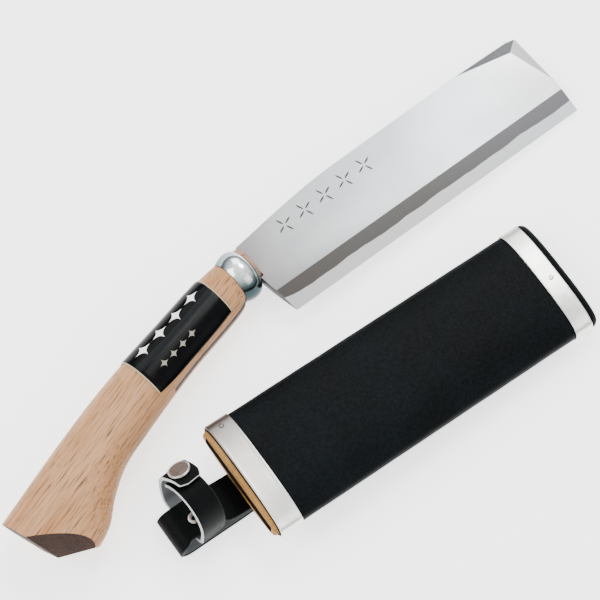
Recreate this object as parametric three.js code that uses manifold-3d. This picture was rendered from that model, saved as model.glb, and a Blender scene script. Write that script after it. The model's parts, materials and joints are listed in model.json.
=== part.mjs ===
// Double-bevel hatchet knife lying beside its leather-covered wooden sheath.
// Millimetres, +Z up. +X runs along the cutting edge from butt to tip and +Y
// points to the spine. The origin is the middle of the base of the whole group.
import * as THREE from 'three';
import { mergeVertices } from 'three/addons/utils/BufferGeometryUtils.js';
import Module from 'manifold-3d';

const wasm = await Module();
wasm.setup();

// ---------------------------------------------------------------- dimensions
const GAP = 0.3; // clearance between touching pieces

// Blade
const BLADE_LENGTH = 180;
const BLADE_THICKNESS = 6;
const EDGE_THICKNESS = 0.3;
const BEVEL_WIDTH = 13.4; // from the cutting edge to the ridge line
const SPINE_HEIGHT_FRONT = 51.4;
const SPINE_HEIGHT_MIDDLE = 49.9;
const CORNER_APEX_Y = 50.2; // the blunt point where the corner facets of both faces meet
const CORNER_START = { x: 139.5, y: 51 }; // where the facet begins along the spine
const CORNER_FACE = { x: 172.1, y: 44.4 }; // where the two corner facets meet on the face
const CORNER_END_Y = 19.9; // where the facet ends along the front
const SHOULDER_SPINE_X = -4.4; // the blade rests on the handle's nose here
const SHOULDER_BELLY_X = -2.4;
const TANG_THICKNESS = 3.2;
const TANG_PIN = { x: -45, y: 20.6, radius: 2 };

// Ferrule and the front of the handle, measured along their own axis
const FERRULE_BACK = { x: -17.7, y: 30.5 };
const FERRULE_ANGLE = THREE.MathUtils.degToRad(6);
const FERRULE_LENGTH = 11.5;
const FERRULE_BULGE = 13.4;
const FERRULE_BULGE_X = -12;
const NOSE_RADIUS = 10.4; // wood inside the ferrule
const COLLAR = { halfWidth: 9.7, halfHeight: 9.2, offset: 1.6, front: 14.2, back: 9.6 };

// Handle
const HANDLE_HALF_FRONT = 11.65;
const HANDLE_HALF_BUTT = 13.4;
const HANDLE_ROUNDNESS = 2.25; // exponent of the oval section
const BUTT_APEX = { x: -166.9, y: -31.1 };
const BUTT_CORNER_SPINE = { x: -176.8, y: -5.6 };
const BUTT_CORNER_BELLY = { x: -148.7, y: -38.1 };
const BUTT_FACET_ANGLE = THREE.MathUtils.degToRad(-31); // its level direction
const BUTT_FACET_RUN = 7.3; // how far the upper facet leans back over its rise
const BUTT_FACET_RISE = 12;
const BUTT_UNDERCUT = { x: -0.09, y: -0.27 }; // the two side facets lean back below
const SLOT_HALF = 1.9; // half width of the saw kerf that takes the tang

// Sheath, in its own frame: x from the mouth band's edge to the closed end
const MOUTH = { x: -75.3, y: -54.5 };
const SHEATH_YAW = THREE.MathUtils.degToRad(-2.83);
const WOOD_FRONT = -2.6;
const WOOD_END = 185.3;
const END_BAND_END = 185.7;
const SHEATH_LENGTH = 189.8;
const MOUTH_BAND_LENGTH = 12.7;
const END_BAND_LENGTH = 10;
const WOOD_HALF_WIDTH = 30.6;
const WOOD_HALF_HEIGHT = 7.8;
const WIDTH_TAPER = -0.4; // change of the half width from mouth to end
const HEIGHT_TAPER = 0.8;
const SHEATH_ROUNDNESS = 2.6;
const LEATHER_INSIDE = 0.2;
const LEATHER_OUTSIDE = 1.2;
const BAND_INSIDE = 1.4;
const BAND_OUTSIDE = 2;
const BLADE_SLOT = { halfWidth: 27.2, halfHeight: 3.6, end: 182.4 };
const MOUTH_HEIGHT = 19.4; // the middle of the mouth above the table
const NAIL = { headRadius: 1.3, headHeight: 0.7, shankRadius: 0.6, depth: 4.2 };
const MOUTH_NAIL = { x: 6.3, y: 27.2 };
const END_NAIL = { x: 181.2, y: -2 };
const END_NAIL_BACK = { x: 181.2, y: 19 }; // off the line that the sheath rests on

// Hanging loop, a folded leather strip
const LOOP_HALF_WIDTH = 10.5;
const LEATHER = 2.2; // thickness of the loop
const LOOP_HINGE = { x: -3.8, z: 8.3 };
const LOOP_FOLD = { x: -36, z: 7.35, radius: 6.05 };
const LOOP_ROOT_END = 24;
const LOOP_RIVET = { x: 18.5, y: 5, shankRadius: 1, headRadius: 2.8 };

// Retaining strap, a ring of leather riveted to the loop
const RING_CENTRE = { x: -27, y: 4.55 };
const RING_ANGLE = THREE.MathUtils.degToRad(6.5);
const RING_LEAN = THREE.MathUtils.degToRad(5.5); // the top leans towards the sheath
const RING_HALF_WIDTH = 15.35;
const RING_HALF_HEIGHT = 20.1;
const RING_MIDDLE_Z = 20;
const RING_FLOOR_Z = 9.5;
const RING_CORNER = 3.5;
const STRAP_WIDTH = 14.2;
const STRAP_THICKNESS = 1.8;
const STRAP_HINGE_ANGLE = THREE.MathUtils.degToRad(8);
const STRAP_ARM_END = THREE.MathUtils.degToRad(40);
const FLAP_END = THREE.MathUtils.degToRad(82);
const FLAP_CHAMFER = { along: 2.6, across: 3 };
const FLAP_LIFT = 5; // distance between the middles of the two overlapping layers
const SNAP_ANGLE = THREE.MathUtils.degToRad(60.5);
const SNAP_SHIFT = 0.7;
const STRAP_RIVET = { x: -28.3, y: 0, shankRadius: 1.6 };

// ----------------------------------------------------------------- materials
const finish = (color, roughness, metalness) => new THREE.MeshStandardMaterial({ color, roughness, metalness });
const forgedSteel = finish(0xc4c8c9, 0.35, 1);
const chrome = finish(0xdfe3e5, 0.08, 1);
const satinSteel = finish(0xc9c6c0, 0.32, 1);
const nickel = finish(0x8a7f76, 0.35, 1);
const oak = finish(0xd0b294, 0.6, 0);
const sheathWood = finish(0xb8976a, 0.65, 0);
const blackLeather = finish(0x0d1113, 0.45, 0);
const labelFilm = finish(0x1a1b1d, 0.3, 0);
const bambooPin = finish(0xb59a6b, 0.6, 0);

// ------------------------------------------------------------- solid helpers
function toSolid(geometry) {
  const bare = geometry.clone();
  bare.deleteAttribute('normal');
  bare.deleteAttribute('uv');
  const merged = mergeVertices(bare, 1e-4);
  const vertProperties = new Float32Array(merged.attributes.position.array);
  const triVerts = new Uint32Array(merged.index.array);
  return new wasm.Manifold(new wasm.Mesh({ numProp: 3, vertProperties, triVerts }));
}

function toGeometry(solid) {
  const { vertProperties, triVerts } = solid.getMesh();
  const geometry = new THREE.BufferGeometry();
  geometry.setAttribute('position', new THREE.BufferAttribute(new Float32Array(vertProperties), 3));
  geometry.setIndex(new THREE.BufferAttribute(new Uint32Array(triVerts), 1));
  const faceted = geometry.toNonIndexed();
  faceted.computeVertexNormals();
  return faceted;
}

function mesh(name, solid, material) {
  const piece = new THREE.Mesh(toGeometry(solid), material);
  piece.name = name;
  return piece;
}

function box(low, high) {
  const size = high.map((value, i) => value - low[i]);
  const geometry = new THREE.BoxGeometry(...size);
  geometry.translate(...low.map((value, i) => value + size[i] / 2));
  return toSolid(geometry);
}

// Removes everything on the side of a plane that its normal points to.
function cutBeyond(solid, point, normal) {
  const size = 900;
  const geometry = new THREE.BoxGeometry(size, size, size);
  geometry.translate(0, 0, size / 2);
  const turn = new THREE.Quaternion().setFromUnitVectors(new THREE.Vector3(0, 0, 1), normal.clone().normalize());
  geometry.applyQuaternion(turn);
  geometry.translate(point.x, point.y, point.z);
  return solid.subtract(toSolid(geometry));
}

function planeNormal(a, b, c, outside) {
  const normal = new THREE.Vector3().crossVectors(b.clone().sub(a), c.clone().sub(a)).normalize();
  return normal.dot(outside.clone().sub(a)) < 0 ? normal.negate() : normal;
}

// A flat outline in X and Y, pushed out from z = -half to z = +half.
function plate(points, half) {
  const shape = new THREE.Shape(points.map(([x, y]) => new THREE.Vector2(x, y)));
  const geometry = new THREE.ExtrudeGeometry(shape, { depth: 2 * half, bevelEnabled: false });
  geometry.translate(0, 0, -half);
  return toSolid(geometry);
}

// A turned piece whose axis starts at `base` and runs along `direction`; the
// profile lists [radius, distance along the axis].
function turned(profile, base, direction, segments = 24) {
  const geometry = new THREE.LatheGeometry(profile.map(([r, h]) => new THREE.Vector2(r, h)), segments);
  const turn = new THREE.Quaternion().setFromUnitVectors(new THREE.Vector3(0, 1, 0), direction.clone().normalize());
  geometry.applyQuaternion(turn);
  geometry.translate(base.x, base.y, base.z);
  return toSolid(geometry);
}

function rod(radius, from, to, segments = 20) {
  const along = to.clone().sub(from);
  const length = along.length();
  return turned([[0, 0], [radius, 0], [radius, length], [0, length]], from, along, segments);
}

// The loops in the order that makes a skin through them face outwards.
function facingOut(loops) {
  const loop = loops[0];
  const turn = new THREE.Vector3();
  loop.forEach((p, i) => turn.add(new THREE.Vector3().crossVectors(p, loop[(i + 1) % loop.length])));
  const along = middle(loops.at(-1)).sub(middle(loop));
  return turn.dot(along) < 0 ? [...loops].reverse() : loops;
}

function middle(loop) {
  return loop.reduce((total, p) => total.add(p), new THREE.Vector3()).divideScalar(loop.length);
}

// The side walls between equal loops of points, as triangle corners.
function wallIndex(loops) {
  const count = loops[0].length;
  const index = [];
  for (let i = 0; i < loops.length - 1; i += 1) {
    for (let j = 0; j < count; j += 1) {
      const near = i * count + j;
      const beside = i * count + ((j + 1) % count);
      index.push(near, beside, near + count, beside, beside + count, near + count);
    }
  }
  return index;
}

function solidFrom(points, index) {
  const geometry = new THREE.BufferGeometry();
  geometry.setAttribute('position', new THREE.Float32BufferAttribute(points.flatMap((p) => [p.x, p.y, p.z]), 3));
  geometry.setIndex(index);
  return toSolid(geometry);
}

// Joins equal loops of points into one closed skin with fanned ends.
function loft(unordered) {
  const loops = facingOut(unordered);
  const count = loops[0].length;
  const last = (loops.length - 1) * count;
  const points = [...loops.flat(), middle(loops[0]), middle(loops.at(-1))];
  const index = wallIndex(loops);
  for (let j = 0; j < count; j += 1) {
    const k = (j + 1) % count;
    index.push(last + count, k, j, last + count + 1, last + j, last + k);
  }
  return solidFrom(points, index);
}

// Like loft, for a thin section whose loop runs out along one face and back
// along the other: each end is closed between the two rows.
function loftStrip(unordered) {
  const loops = facingOut(unordered);
  const count = loops[0].length;
  const last = (loops.length - 1) * count;
  const index = wallIndex(loops);
  for (let j = 0; j < count / 2 - 1; j += 1) {
    const opposite = count - 1 - j;
    index.push(j, opposite, j + 1, j + 1, opposite, opposite - 1);
    index.push(last + j, last + j + 1, last + opposite, last + j + 1, last + opposite - 1, last + opposite);
  }
  return solidFrom(loops.flat(), index);
}

// Unit oval between an ellipse (2) and a box (large exponent), anticlockwise.
function ovalPoint(angle, exponent) {
  const soften = (value) => Math.sign(value) * Math.abs(value) ** (2 / exponent);
  return [soften(Math.cos(angle)), soften(Math.sin(angle))];
}

const circleAngles = (count) => Array.from({ length: count }, (_, i) => (i / count) * 2 * Math.PI);

// ----------------------------------------------------------------- the knife
function bladeOutline() {
  const outline = new THREE.Shape();
  outline.moveTo(0, 0);
  outline.lineTo(BLADE_LENGTH, 0);
  outline.lineTo(BLADE_LENGTH, SPINE_HEIGHT_FRONT);
  outline.lineTo(61, SPINE_HEIGHT_MIDDLE);
  outline.bezierCurveTo(46, 49.6, 30, 48, SHOULDER_SPINE_X, 43.2);
  outline.lineTo(SHOULDER_BELLY_X, 23.7);
  outline.lineTo(-4.4, 23.2);
  return outline.getPoints(16).map((p) => [p.x, p.y]);
}

function tangSolid() {
  const outline = [[2, 24.8], [2, 40.6], [-4, 39.9], [-68, 19], [-71, 13], [-68, 9], [-4, 25]];
  const hole = rod(TANG_PIN.radius + GAP, pinPoint(-10), pinPoint(10));
  return plate(outline, TANG_THICKNESS / 2).subtract(hole);
}

const pinPoint = (z) => new THREE.Vector3(TANG_PIN.x, TANG_PIN.y, z);

function bladeSolid() {
  const half = BLADE_THICKNESS / 2;
  const edge = EDGE_THICKNESS / 2;
  let solid = plate(bladeOutline(), half);
  for (const side of [1, -1]) {
    const ridge = new THREE.Vector3(0, BEVEL_WIDTH, side * half);
    const edgeLine = new THREE.Vector3(0, 0, side * edge);
    const alongEdge = new THREE.Vector3(BLADE_LENGTH, 0, side * edge);
    const above = new THREE.Vector3(0, 0, side * 20);
    solid = cutBeyond(solid, edgeLine, planeNormal(ridge, edgeLine, alongEdge, above));
    const apex = new THREE.Vector3(BLADE_LENGTH, CORNER_APEX_Y, 0);
    const face = new THREE.Vector3(CORNER_FACE.x, CORNER_FACE.y, side * half);
    const frontEnd = new THREE.Vector3(BLADE_LENGTH, CORNER_END_Y, side * half);
    const spineStart = new THREE.Vector3(CORNER_START.x, CORNER_START.y, side * half);
    const outside = new THREE.Vector3(BLADE_LENGTH, SPINE_HEIGHT_FRONT, side * 20);
    solid = cutBeyond(solid, apex, planeNormal(apex, face, frontEnd, outside));
    solid = cutBeyond(solid, apex, planeNormal(apex, face, spineStart, outside));
  }
  return solid.add(tangSolid());
}

// Position on the ferrule's axis, with an optional sideways shift towards the spine.
function ferrulePoint(along, across = 0, z = 0) {
  const cos = Math.cos(FERRULE_ANGLE);
  const sin = Math.sin(FERRULE_ANGLE);
  const x = FERRULE_BACK.x + along * cos - across * sin;
  const y = FERRULE_BACK.y + along * sin + across * cos;
  return new THREE.Vector3(x, y, z);
}

function collarSolid(grow, from, to) {
  const ring = (along) => circleAngles(32).map((angle) => {
    const across = COLLAR.offset + (COLLAR.halfWidth + grow) * Math.cos(angle);
    return ferrulePoint(along, across, (COLLAR.halfHeight + grow) * Math.sin(angle));
  });
  return loft([ring(from), ring(to)]);
}

function noseSolid(grow) {
  const barrel = rod(NOSE_RADIUS + grow, ferrulePoint(-2), ferrulePoint(COLLAR.back + grow), 32);
  return barrel.add(collarSolid(grow, COLLAR.back - 1, COLLAR.front + grow));
}

function ferruleSolid() {
  const profile = [[0, 0], [11.75, 0], [12.7, 2.2], [FERRULE_BULGE, 5], [FERRULE_BULGE, 7], [12.9, 9], [11.9, 10.6]];
  profile.push([10.7, FERRULE_LENGTH], [0, FERRULE_LENGTH]);
  const axis = ferrulePoint(1).sub(ferrulePoint(0));
  return turned(profile, ferrulePoint(0), axis, 32).subtract(noseSolid(GAP));
}

const spineEdge = new THREE.CatmullRomCurve3([
  new THREE.Vector3(-18.95, 42.05, 0),
  new THREE.Vector3(-30, 40.6, 0),
  new THREE.Vector3(-60, 33.8, 0),
  new THREE.Vector3(-98, 24.9, 0),
  new THREE.Vector3(-135, 13.3, 0),
  new THREE.Vector3(-184, -4.2, 0),
]);

const bellyEdge = new THREE.CatmullRomCurve3([
  new THREE.Vector3(-16.5, 18.9, 0),
  new THREE.Vector3(-20, 16.2, 0),
  new THREE.Vector3(-60, 5.4, 0),
  new THREE.Vector3(-95, -6.2, 0),
  new THREE.Vector3(-114, -13.6, 0),
  new THREE.Vector3(-128, -23.6, 0),
  new THREE.Vector3(-138, -33, 0),
  new THREE.Vector3(-150, -38.9, 0),
  new THREE.Vector3(-172, -43, 0),
]);

// One oval section of the handle at t along it; angle 0 faces the spine side and
// 90 degrees faces up.
function handlePoint(t, angle, grow = 0) {
  const spine = spineEdge.getPointAt(t);
  const belly = bellyEdge.getPointAt(t);
  const across = spine.clone().sub(belly).multiplyScalar(0.5);
  const centre = spine.add(belly).multiplyScalar(0.5);
  const half = THREE.MathUtils.lerp(HANDLE_HALF_FRONT, HANDLE_HALF_BUTT, Math.min(1, t * 1.6));
  const roundness = THREE.MathUtils.lerp(2, HANDLE_ROUNDNESS, Math.min(1, t * 8));
  const [u, v] = ovalPoint(angle, roundness);
  const width = across.length();
  const point = centre.addScaledVector(across, (u * (width + grow)) / width);
  point.z = v * (half + grow);
  return point;
}

function buttPlanes() {
  const apex = new THREE.Vector3(BUTT_APEX.x, BUTT_APEX.y, 0);
  const spineCorner = new THREE.Vector3(BUTT_CORNER_SPINE.x, BUTT_CORNER_SPINE.y, 0);
  const bellyCorner = new THREE.Vector3(BUTT_CORNER_BELLY.x, BUTT_CORNER_BELLY.y, 0);
  const up = new THREE.Vector3(0, 0, 1);
  const lean = new THREE.Vector3(BUTT_UNDERCUT.x, BUTT_UNDERCUT.y, 1);
  const outside = new THREE.Vector3(-200, -80, 0);
  // The upper and lower facets share one level direction through the apex.
  const level = new THREE.Vector3(Math.cos(BUTT_FACET_ANGLE), Math.sin(BUTT_FACET_ANGLE), 0);
  const inward = new THREE.Vector3(-level.y, level.x, 0);
  const planes = [spineCorner, bellyCorner].map((corner) => planeNormal(apex, corner, apex.clone().add(lean), outside));
  for (const side of [1, -1]) {
    const back = apex.clone().addScaledVector(inward, BUTT_FACET_RUN).addScaledVector(up, side * BUTT_FACET_RISE);
    planes.push(planeNormal(apex, apex.clone().add(level), back, outside));
  }
  return planes.map((normal) => ({ point: apex, normal }));
}

function handleSolid() {
  const steps = 18;
  const stations = Array.from({ length: steps + 1 }, (_, i) => i / steps);
  const angles = circleAngles(28);
  let solid = loft(stations.map((t) => angles.map((angle) => handlePoint(t, angle))));
  for (const { point, normal } of buttPlanes()) {
    solid = cutBeyond(solid, point, normal);
  }
  // The grip stops short of the ferrule, and the nose runs on through it.
  const forward = ferrulePoint(1).sub(ferrulePoint(0));
  solid = cutBeyond(solid, ferrulePoint(-GAP), forward).add(noseSolid(0));
  const kerfTop = [[1, 41], [-4, 40.3], [-68.3, 19.4], [-73.4, 13.4]];
  const kerfBottom = [[-73.4, -6], [-17.9, 9], [-17.9, 21.2], [-4, 24.6], [1, 24.4]];
  const kerf = plate([...kerfTop, ...kerfBottom], SLOT_HALF);
  const pinHole = rod(TANG_PIN.radius + GAP, pinPoint(-20), pinPoint(20));
  return solid.subtract(kerf).subtract(pinHole);
}

// A thin wrap that follows the handle between two stations and two angles.
function wrapSolid(fromT, toT, fromAngle, toAngle, inside, outside) {
  const rows = 8;
  const columns = 18;
  const loops = [];
  for (let i = 0; i <= rows; i += 1) {
    const t = THREE.MathUtils.lerp(fromT, toT, i / rows);
    const angleAt = (j) => THREE.MathUtils.lerp(fromAngle, toAngle, j / columns);
    const outer = Array.from({ length: columns + 1 }, (_, j) => handlePoint(t, angleAt(j), outside));
    const inner = Array.from({ length: columns + 1 }, (_, j) => handlePoint(t, angleAt(columns - j), inside));
    loops.push([...outer, ...inner]);
  }
  return loftStrip(loops);
}

function labelSolid() {
  const spineSide = THREE.MathUtils.degToRad(-70);
  const bellySide = THREE.MathUtils.degToRad(148);
  return wrapSolid(0.07, 0.4, spineSide, bellySide, GAP, GAP + 0.5);
}

function buildKnife() {
  const knife = new THREE.Group();
  const halfHeight = handlePoint(0.17, Math.PI / 2).z;
  knife.add(mesh('blade', bladeSolid(), forgedSteel));
  knife.add(mesh('ferrule', ferruleSolid(), chrome));
  knife.add(mesh('handle', handleSolid(), oak));
  knife.add(mesh('tang_pin', rod(TANG_PIN.radius, pinPoint(1.2 - halfHeight), pinPoint(halfHeight - 1.2)), bambooPin));
  knife.add(mesh('handle_label', labelSolid(), labelFilm));
  // The knife rests on the ferrule's belly and on the front of the blade.
  const half = BLADE_THICKNESS / 2;
  const tilt = Math.asin((FERRULE_BULGE - half) / (BLADE_LENGTH - FERRULE_BULGE_X));
  knife.rotation.y = tilt;
  knife.position.z = half * Math.cos(tilt) + BLADE_LENGTH * Math.sin(tilt);
  return knife;
}

// ---------------------------------------------------------------- the sheath
// The oval section grows outwards by `grow` from the wooden core.
function sheathHalf(x, grow) {
  const t = x / WOOD_END;
  return [WOOD_HALF_WIDTH + WIDTH_TAPER * t + grow, WOOD_HALF_HEIGHT + HEIGHT_TAPER * t + grow];
}

function sheathRing(x, grow, inset = 0) {
  const [halfWidth, halfHeight] = sheathHalf(x, grow - inset);
  return circleAngles(40).map((angle) => {
    const [u, v] = ovalPoint(angle, SHEATH_ROUNDNESS);
    return new THREE.Vector3(x, u * halfWidth, v * halfHeight);
  });
}

const sheathTube = (from, to, inside, outside) => {
  const outer = loft([sheathRing(from, outside), sheathRing(to, outside)]);
  return outer.subtract(loft([sheathRing(from - 1, inside), sheathRing(to + 1, inside)]));
};

// Point on the skin at `grow` above the wood, and the way it faces.
function sheathSurface(x, y, grow, side) {
  const [halfWidth, halfHeight] = sheathHalf(x, grow);
  const u = Math.abs(y) / halfWidth;
  const v = (1 - u ** SHEATH_ROUNDNESS) ** (1 / SHEATH_ROUNDNESS);
  const ny = (Math.sign(y) * u ** (SHEATH_ROUNDNESS - 1)) / halfWidth;
  const nz = v ** (SHEATH_ROUNDNESS - 1) / halfHeight;
  const point = new THREE.Vector3(x, y, side * v * halfHeight);
  return { point, normal: new THREE.Vector3(0, ny, side * nz).normalize() };
}

const nailPlaces = [
  { name: 'mouth_nail_front', side: 1, ...MOUTH_NAIL },
  { name: 'mouth_nail_back', side: -1, ...MOUTH_NAIL },
  { name: 'end_nail_front', side: 1, ...END_NAIL },
  { name: 'end_nail_back', side: -1, ...END_NAIL_BACK },
];

function nailSolid({ x, y, side }) {
  const { point, normal } = sheathSurface(x, y, BAND_OUTSIDE + 0.05, side);
  const { headRadius, headHeight, shankRadius, depth } = NAIL;
  const base = point.clone().addScaledVector(normal, -depth);
  const profile = [[0, 0], [shankRadius, 1], [shankRadius, depth], [headRadius, depth]];
  profile.push([headRadius * 0.8, depth + headHeight * 0.7], [0, depth + headHeight]);
  return turned(profile, base, normal, 12);
}

function nailHole({ x, y, side }) {
  const { point, normal } = sheathSurface(x, y, BAND_OUTSIDE, side);
  const from = point.clone().addScaledVector(normal, -NAIL.depth - GAP);
  return rod(NAIL.shankRadius + GAP, from, point.clone().addScaledVector(normal, 2), 12);
}

function withNailHoles(solid) {
  return nailPlaces.reduce((rest, place) => rest.subtract(nailHole(place)), solid);
}

const rivetSides = [{ name: 'loop_rivet_left', sign: 1 }, { name: 'loop_rivet_right', sign: -1 }];

const loopRivetPoint = (sign, z) => new THREE.Vector3(LOOP_RIVET.x, sign * LOOP_RIVET.y, z);

function withRivetHoles(solid) {
  const radius = LOOP_RIVET.shankRadius + GAP;
  const cut = (rest, { sign }) => rest.subtract(rod(radius, loopRivetPoint(sign, -25), loopRivetPoint(sign, -5.2)));
  return rivetSides.reduce(cut, solid);
}

function woodShell(side) {
  const rim = [sheathRing(WOOD_FRONT, 0, 0.9), sheathRing(WOOD_FRONT + 0.5, 0, 0.3), sheathRing(WOOD_FRONT + 1.4, 0)];
  const core = loft([...rim, sheathRing(WOOD_END, 0)]);
  const { halfWidth, halfHeight, end } = BLADE_SLOT;
  const slot = box([-10, -halfWidth, -halfHeight], [end, halfWidth, halfHeight]);
  const far = new THREE.Vector3(0, 0, (side * GAP) / 2);
  const half = cutBeyond(core, far, new THREE.Vector3(0, 0, -side));
  return withRivetHoles(withNailHoles(half.subtract(slot)));
}

function endCapSolid() {
  const start = END_BAND_END + GAP;
  const length = SHEATH_LENGTH - start;
  const steps = [0, 0.3, 0.6, 0.85, 1];
  const loops = steps.map((step) => {
    const inset = 3.2 * (1 - Math.sqrt(1 - step * step * 0.98));
    return sheathRing(start + step * length, BAND_OUTSIDE - 0.5, inset);
  });
  return loft(loops);
}

// The closed end rests on the table and the mouth is propped up by the loop.
const sheathTilt = Math.asin((MOUTH_HEIGHT - sheathHalf(END_BAND_END, BAND_OUTSIDE)[1]) / END_BAND_END);

// The two ends of the loop lie one on the other under the sheath's back.
const ROOT_TOP = -(WOOD_HALF_HEIGHT + BAND_OUTSIDE + GAP);

// Where a root starts, so that it clears the loop once the sheath is tilted.
const rootStart = (z) => LOOP_HINGE.x + GAP - z * Math.sin(sheathTilt);

function rootUpperSolid() {
  const bottom = ROOT_TOP - LEATHER;
  const low = [rootStart(bottom), -LOOP_HALF_WIDTH, bottom];
  return withRivetHoles(box(low, [LOOP_ROOT_END, LOOP_HALF_WIDTH, ROOT_TOP]));
}

// An outline in X and Z pushed out across the sheath.
function acrossPlate(points, halfWidth) {
  const shape = new THREE.Shape(points);
  const geometry = new THREE.ExtrudeGeometry(shape, { depth: 2 * halfWidth, bevelEnabled: false });
  geometry.rotateX(Math.PI / 2);
  geometry.translate(0, halfWidth, 0);
  return toSolid(geometry);
}

// The outline of a strip of even thickness along a line of points.
function stripOutline(points, thickness) {
  const sideways = points.map((p, i) => {
    const before = points[Math.max(0, i - 1)];
    const after = points[Math.min(points.length - 1, i + 1)];
    const along = after.clone().sub(before).normalize();
    return new THREE.Vector2(-along.y, along.x).multiplyScalar(thickness / 2);
  });
  const left = points.map((p, i) => p.clone().add(sideways[i]));
  const right = points.map((p, i) => p.clone().sub(sideways[i])).reverse();
  return [...left, ...right];
}

function rootLowerSolid() {
  const stacked = ROOT_TOP - 1.5 * LEATHER - GAP;
  const level = LEATHER / 2 + 0.25 - MOUTH_HEIGHT;
  const start = new THREE.Vector2(rootStart(level - LEATHER / 2), level);
  const line = new THREE.SplineCurve([
    start,
    new THREE.Vector2(3, start.y + 0.9),
    new THREE.Vector2(11, stacked - 0.3),
    new THREE.Vector2(15, stacked),
    new THREE.Vector2(LOOP_ROOT_END, stacked),
  ]);
  const outline = stripOutline(line.getPoints(20), LEATHER);
  return withRivetHoles(acrossPlate(outline, LOOP_HALF_WIDTH));
}

function loopRivetSolid(sign) {
  const foot = ROOT_TOP - 2 * LEATHER - 2 * GAP - 0.9;
  const top = -5.6;
  const { shankRadius, headRadius } = LOOP_RIVET;
  const profile = [[0, 0], [headRadius * 0.7, 0], [headRadius, 0.5], [headRadius, 0.9], [shankRadius, 0.9]];
  profile.push([shankRadius, top - foot], [0, top - foot]);
  return turned(profile, loopRivetPoint(sign, foot), new THREE.Vector3(0, 0, 1), 18);
}

function buildSheath() {
  const sheath = new THREE.Group();
  const endBandStart = END_BAND_END - END_BAND_LENGTH;
  const cover = withRivetHoles(withNailHoles(sheathTube(-0.4, WOOD_END, LEATHER_INSIDE, LEATHER_OUTSIDE)));
  const mouthBand = withNailHoles(sheathTube(0, MOUTH_BAND_LENGTH, BAND_INSIDE, BAND_OUTSIDE));
  const endBand = withNailHoles(sheathTube(endBandStart, END_BAND_END, BAND_INSIDE, BAND_OUTSIDE));
  sheath.add(mesh('sheath_front_half', woodShell(1), sheathWood));
  sheath.add(mesh('sheath_back_half', woodShell(-1), sheathWood));
  sheath.add(mesh('leather_cover', cover, blackLeather));
  sheath.add(mesh('mouth_band', mouthBand, satinSteel));
  sheath.add(mesh('end_band', endBand, satinSteel));
  sheath.add(mesh('end_cap', endCapSolid(), blackLeather));
  for (const place of nailPlaces) {
    sheath.add(mesh(place.name, nailSolid(place), satinSteel));
  }
  sheath.add(mesh('loop_root_upper', rootUpperSolid(), blackLeather));
  sheath.add(mesh('loop_root_lower', rootLowerSolid(), blackLeather));
  for (const { name, sign } of rivetSides) {
    sheath.add(mesh(name, loopRivetSolid(sign), nickel));
  }
  sheath.position.z = MOUTH_HEIGHT;
  sheath.rotation.y = sheathTilt;
  return sheath;
}

// ---------------------------------------------------------- the hanging loop
function loopLine() {
  const upper = new THREE.SplineCurve([
    new THREE.Vector2(LOOP_HINGE.x - 2 * GAP, LOOP_HINGE.z + 0.15),
    new THREE.Vector2(-10, 9.6),
    new THREE.Vector2(-19, 12.2),
    new THREE.Vector2(-28, 13.3),
    new THREE.Vector2(LOOP_FOLD.x, LOOP_FOLD.z + LOOP_FOLD.radius),
  ]);
  const line = upper.getPoints(18);
  const steps = 14;
  for (let i = 1; i <= steps; i += 1) {
    const angle = Math.PI / 2 + (i / steps) * Math.PI;
    const x = LOOP_FOLD.x + LOOP_FOLD.radius * Math.cos(angle);
    line.push(new THREE.Vector2(x, LOOP_FOLD.z + LOOP_FOLD.radius * Math.sin(angle)));
  }
  line.push(new THREE.Vector2(LOOP_HINGE.x - GAP, LOOP_FOLD.z - LOOP_FOLD.radius));
  return line;
}

const strapRivetPoint = (z) => new THREE.Vector3(STRAP_RIVET.x, STRAP_RIVET.y, z);

// The strap pulls the near edge of the loop's upper layer inwards.
function waistCutter() {
  const outline = [[-39.5, -11.5], [-38.6, -10.5], [-35, -8.7], [-19, -7.4], [-14, -10.5], [-13.2, -11.5]];
  return plate(outline, 6).translate(0, 0, 15);
}

function hangingLoopSolid() {
  const strip = acrossPlate(stripOutline(loopLine(), LEATHER), LOOP_HALF_WIDTH).subtract(waistCutter());
  return strip.subtract(rod(STRAP_RIVET.shankRadius + GAP, strapRivetPoint(9), strapRivetPoint(20)));
}

function strapRivetSolid() {
  const foot = RING_FLOOR_Z - STRAP_THICKNESS / 2 - 2 * GAP - 1;
  const underLip = 14.85 - foot;
  const r = STRAP_RIVET.shankRadius;
  const profile = [[0, 0], [3.4, 0], [4, 0.4], [4, 1], [r, 1], [r, underLip], [2.9, underLip]];
  profile.push([3.1, underLip + 0.5], [2.2, underLip + 0.95], [1, underLip + 0.4], [1, underLip - 4], [0, underLip - 4.3]);
  return turned(profile, strapRivetPoint(foot), new THREE.Vector3(0, 0, 1), 20);
}

// -------------------------------------------------------- the retaining strap
// Point on the ring's upper arch; angle 0 is the far side, 90 degrees the top.
function archPoint(angle, lift = 0) {
  const point = new THREE.Vector2(RING_HALF_WIDTH * Math.cos(angle), RING_HALF_HEIGHT * Math.sin(angle));
  point.y += RING_MIDDLE_Z;
  return point.addScaledVector(archNormal(angle), lift);
}

function archNormal(angle) {
  return new THREE.Vector2(Math.cos(angle) / RING_HALF_WIDTH, Math.sin(angle) / RING_HALF_HEIGHT).normalize();
}

function arc(centreY, centreZ, fromAngle, toAngle, steps) {
  return Array.from({ length: steps + 1 }, (_, i) => {
    const angle = THREE.MathUtils.lerp(fromAngle, toAngle, i / steps);
    return new THREE.Vector2(centreY + RING_CORNER * Math.cos(angle), centreZ + RING_CORNER * Math.sin(angle));
  });
}

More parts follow.
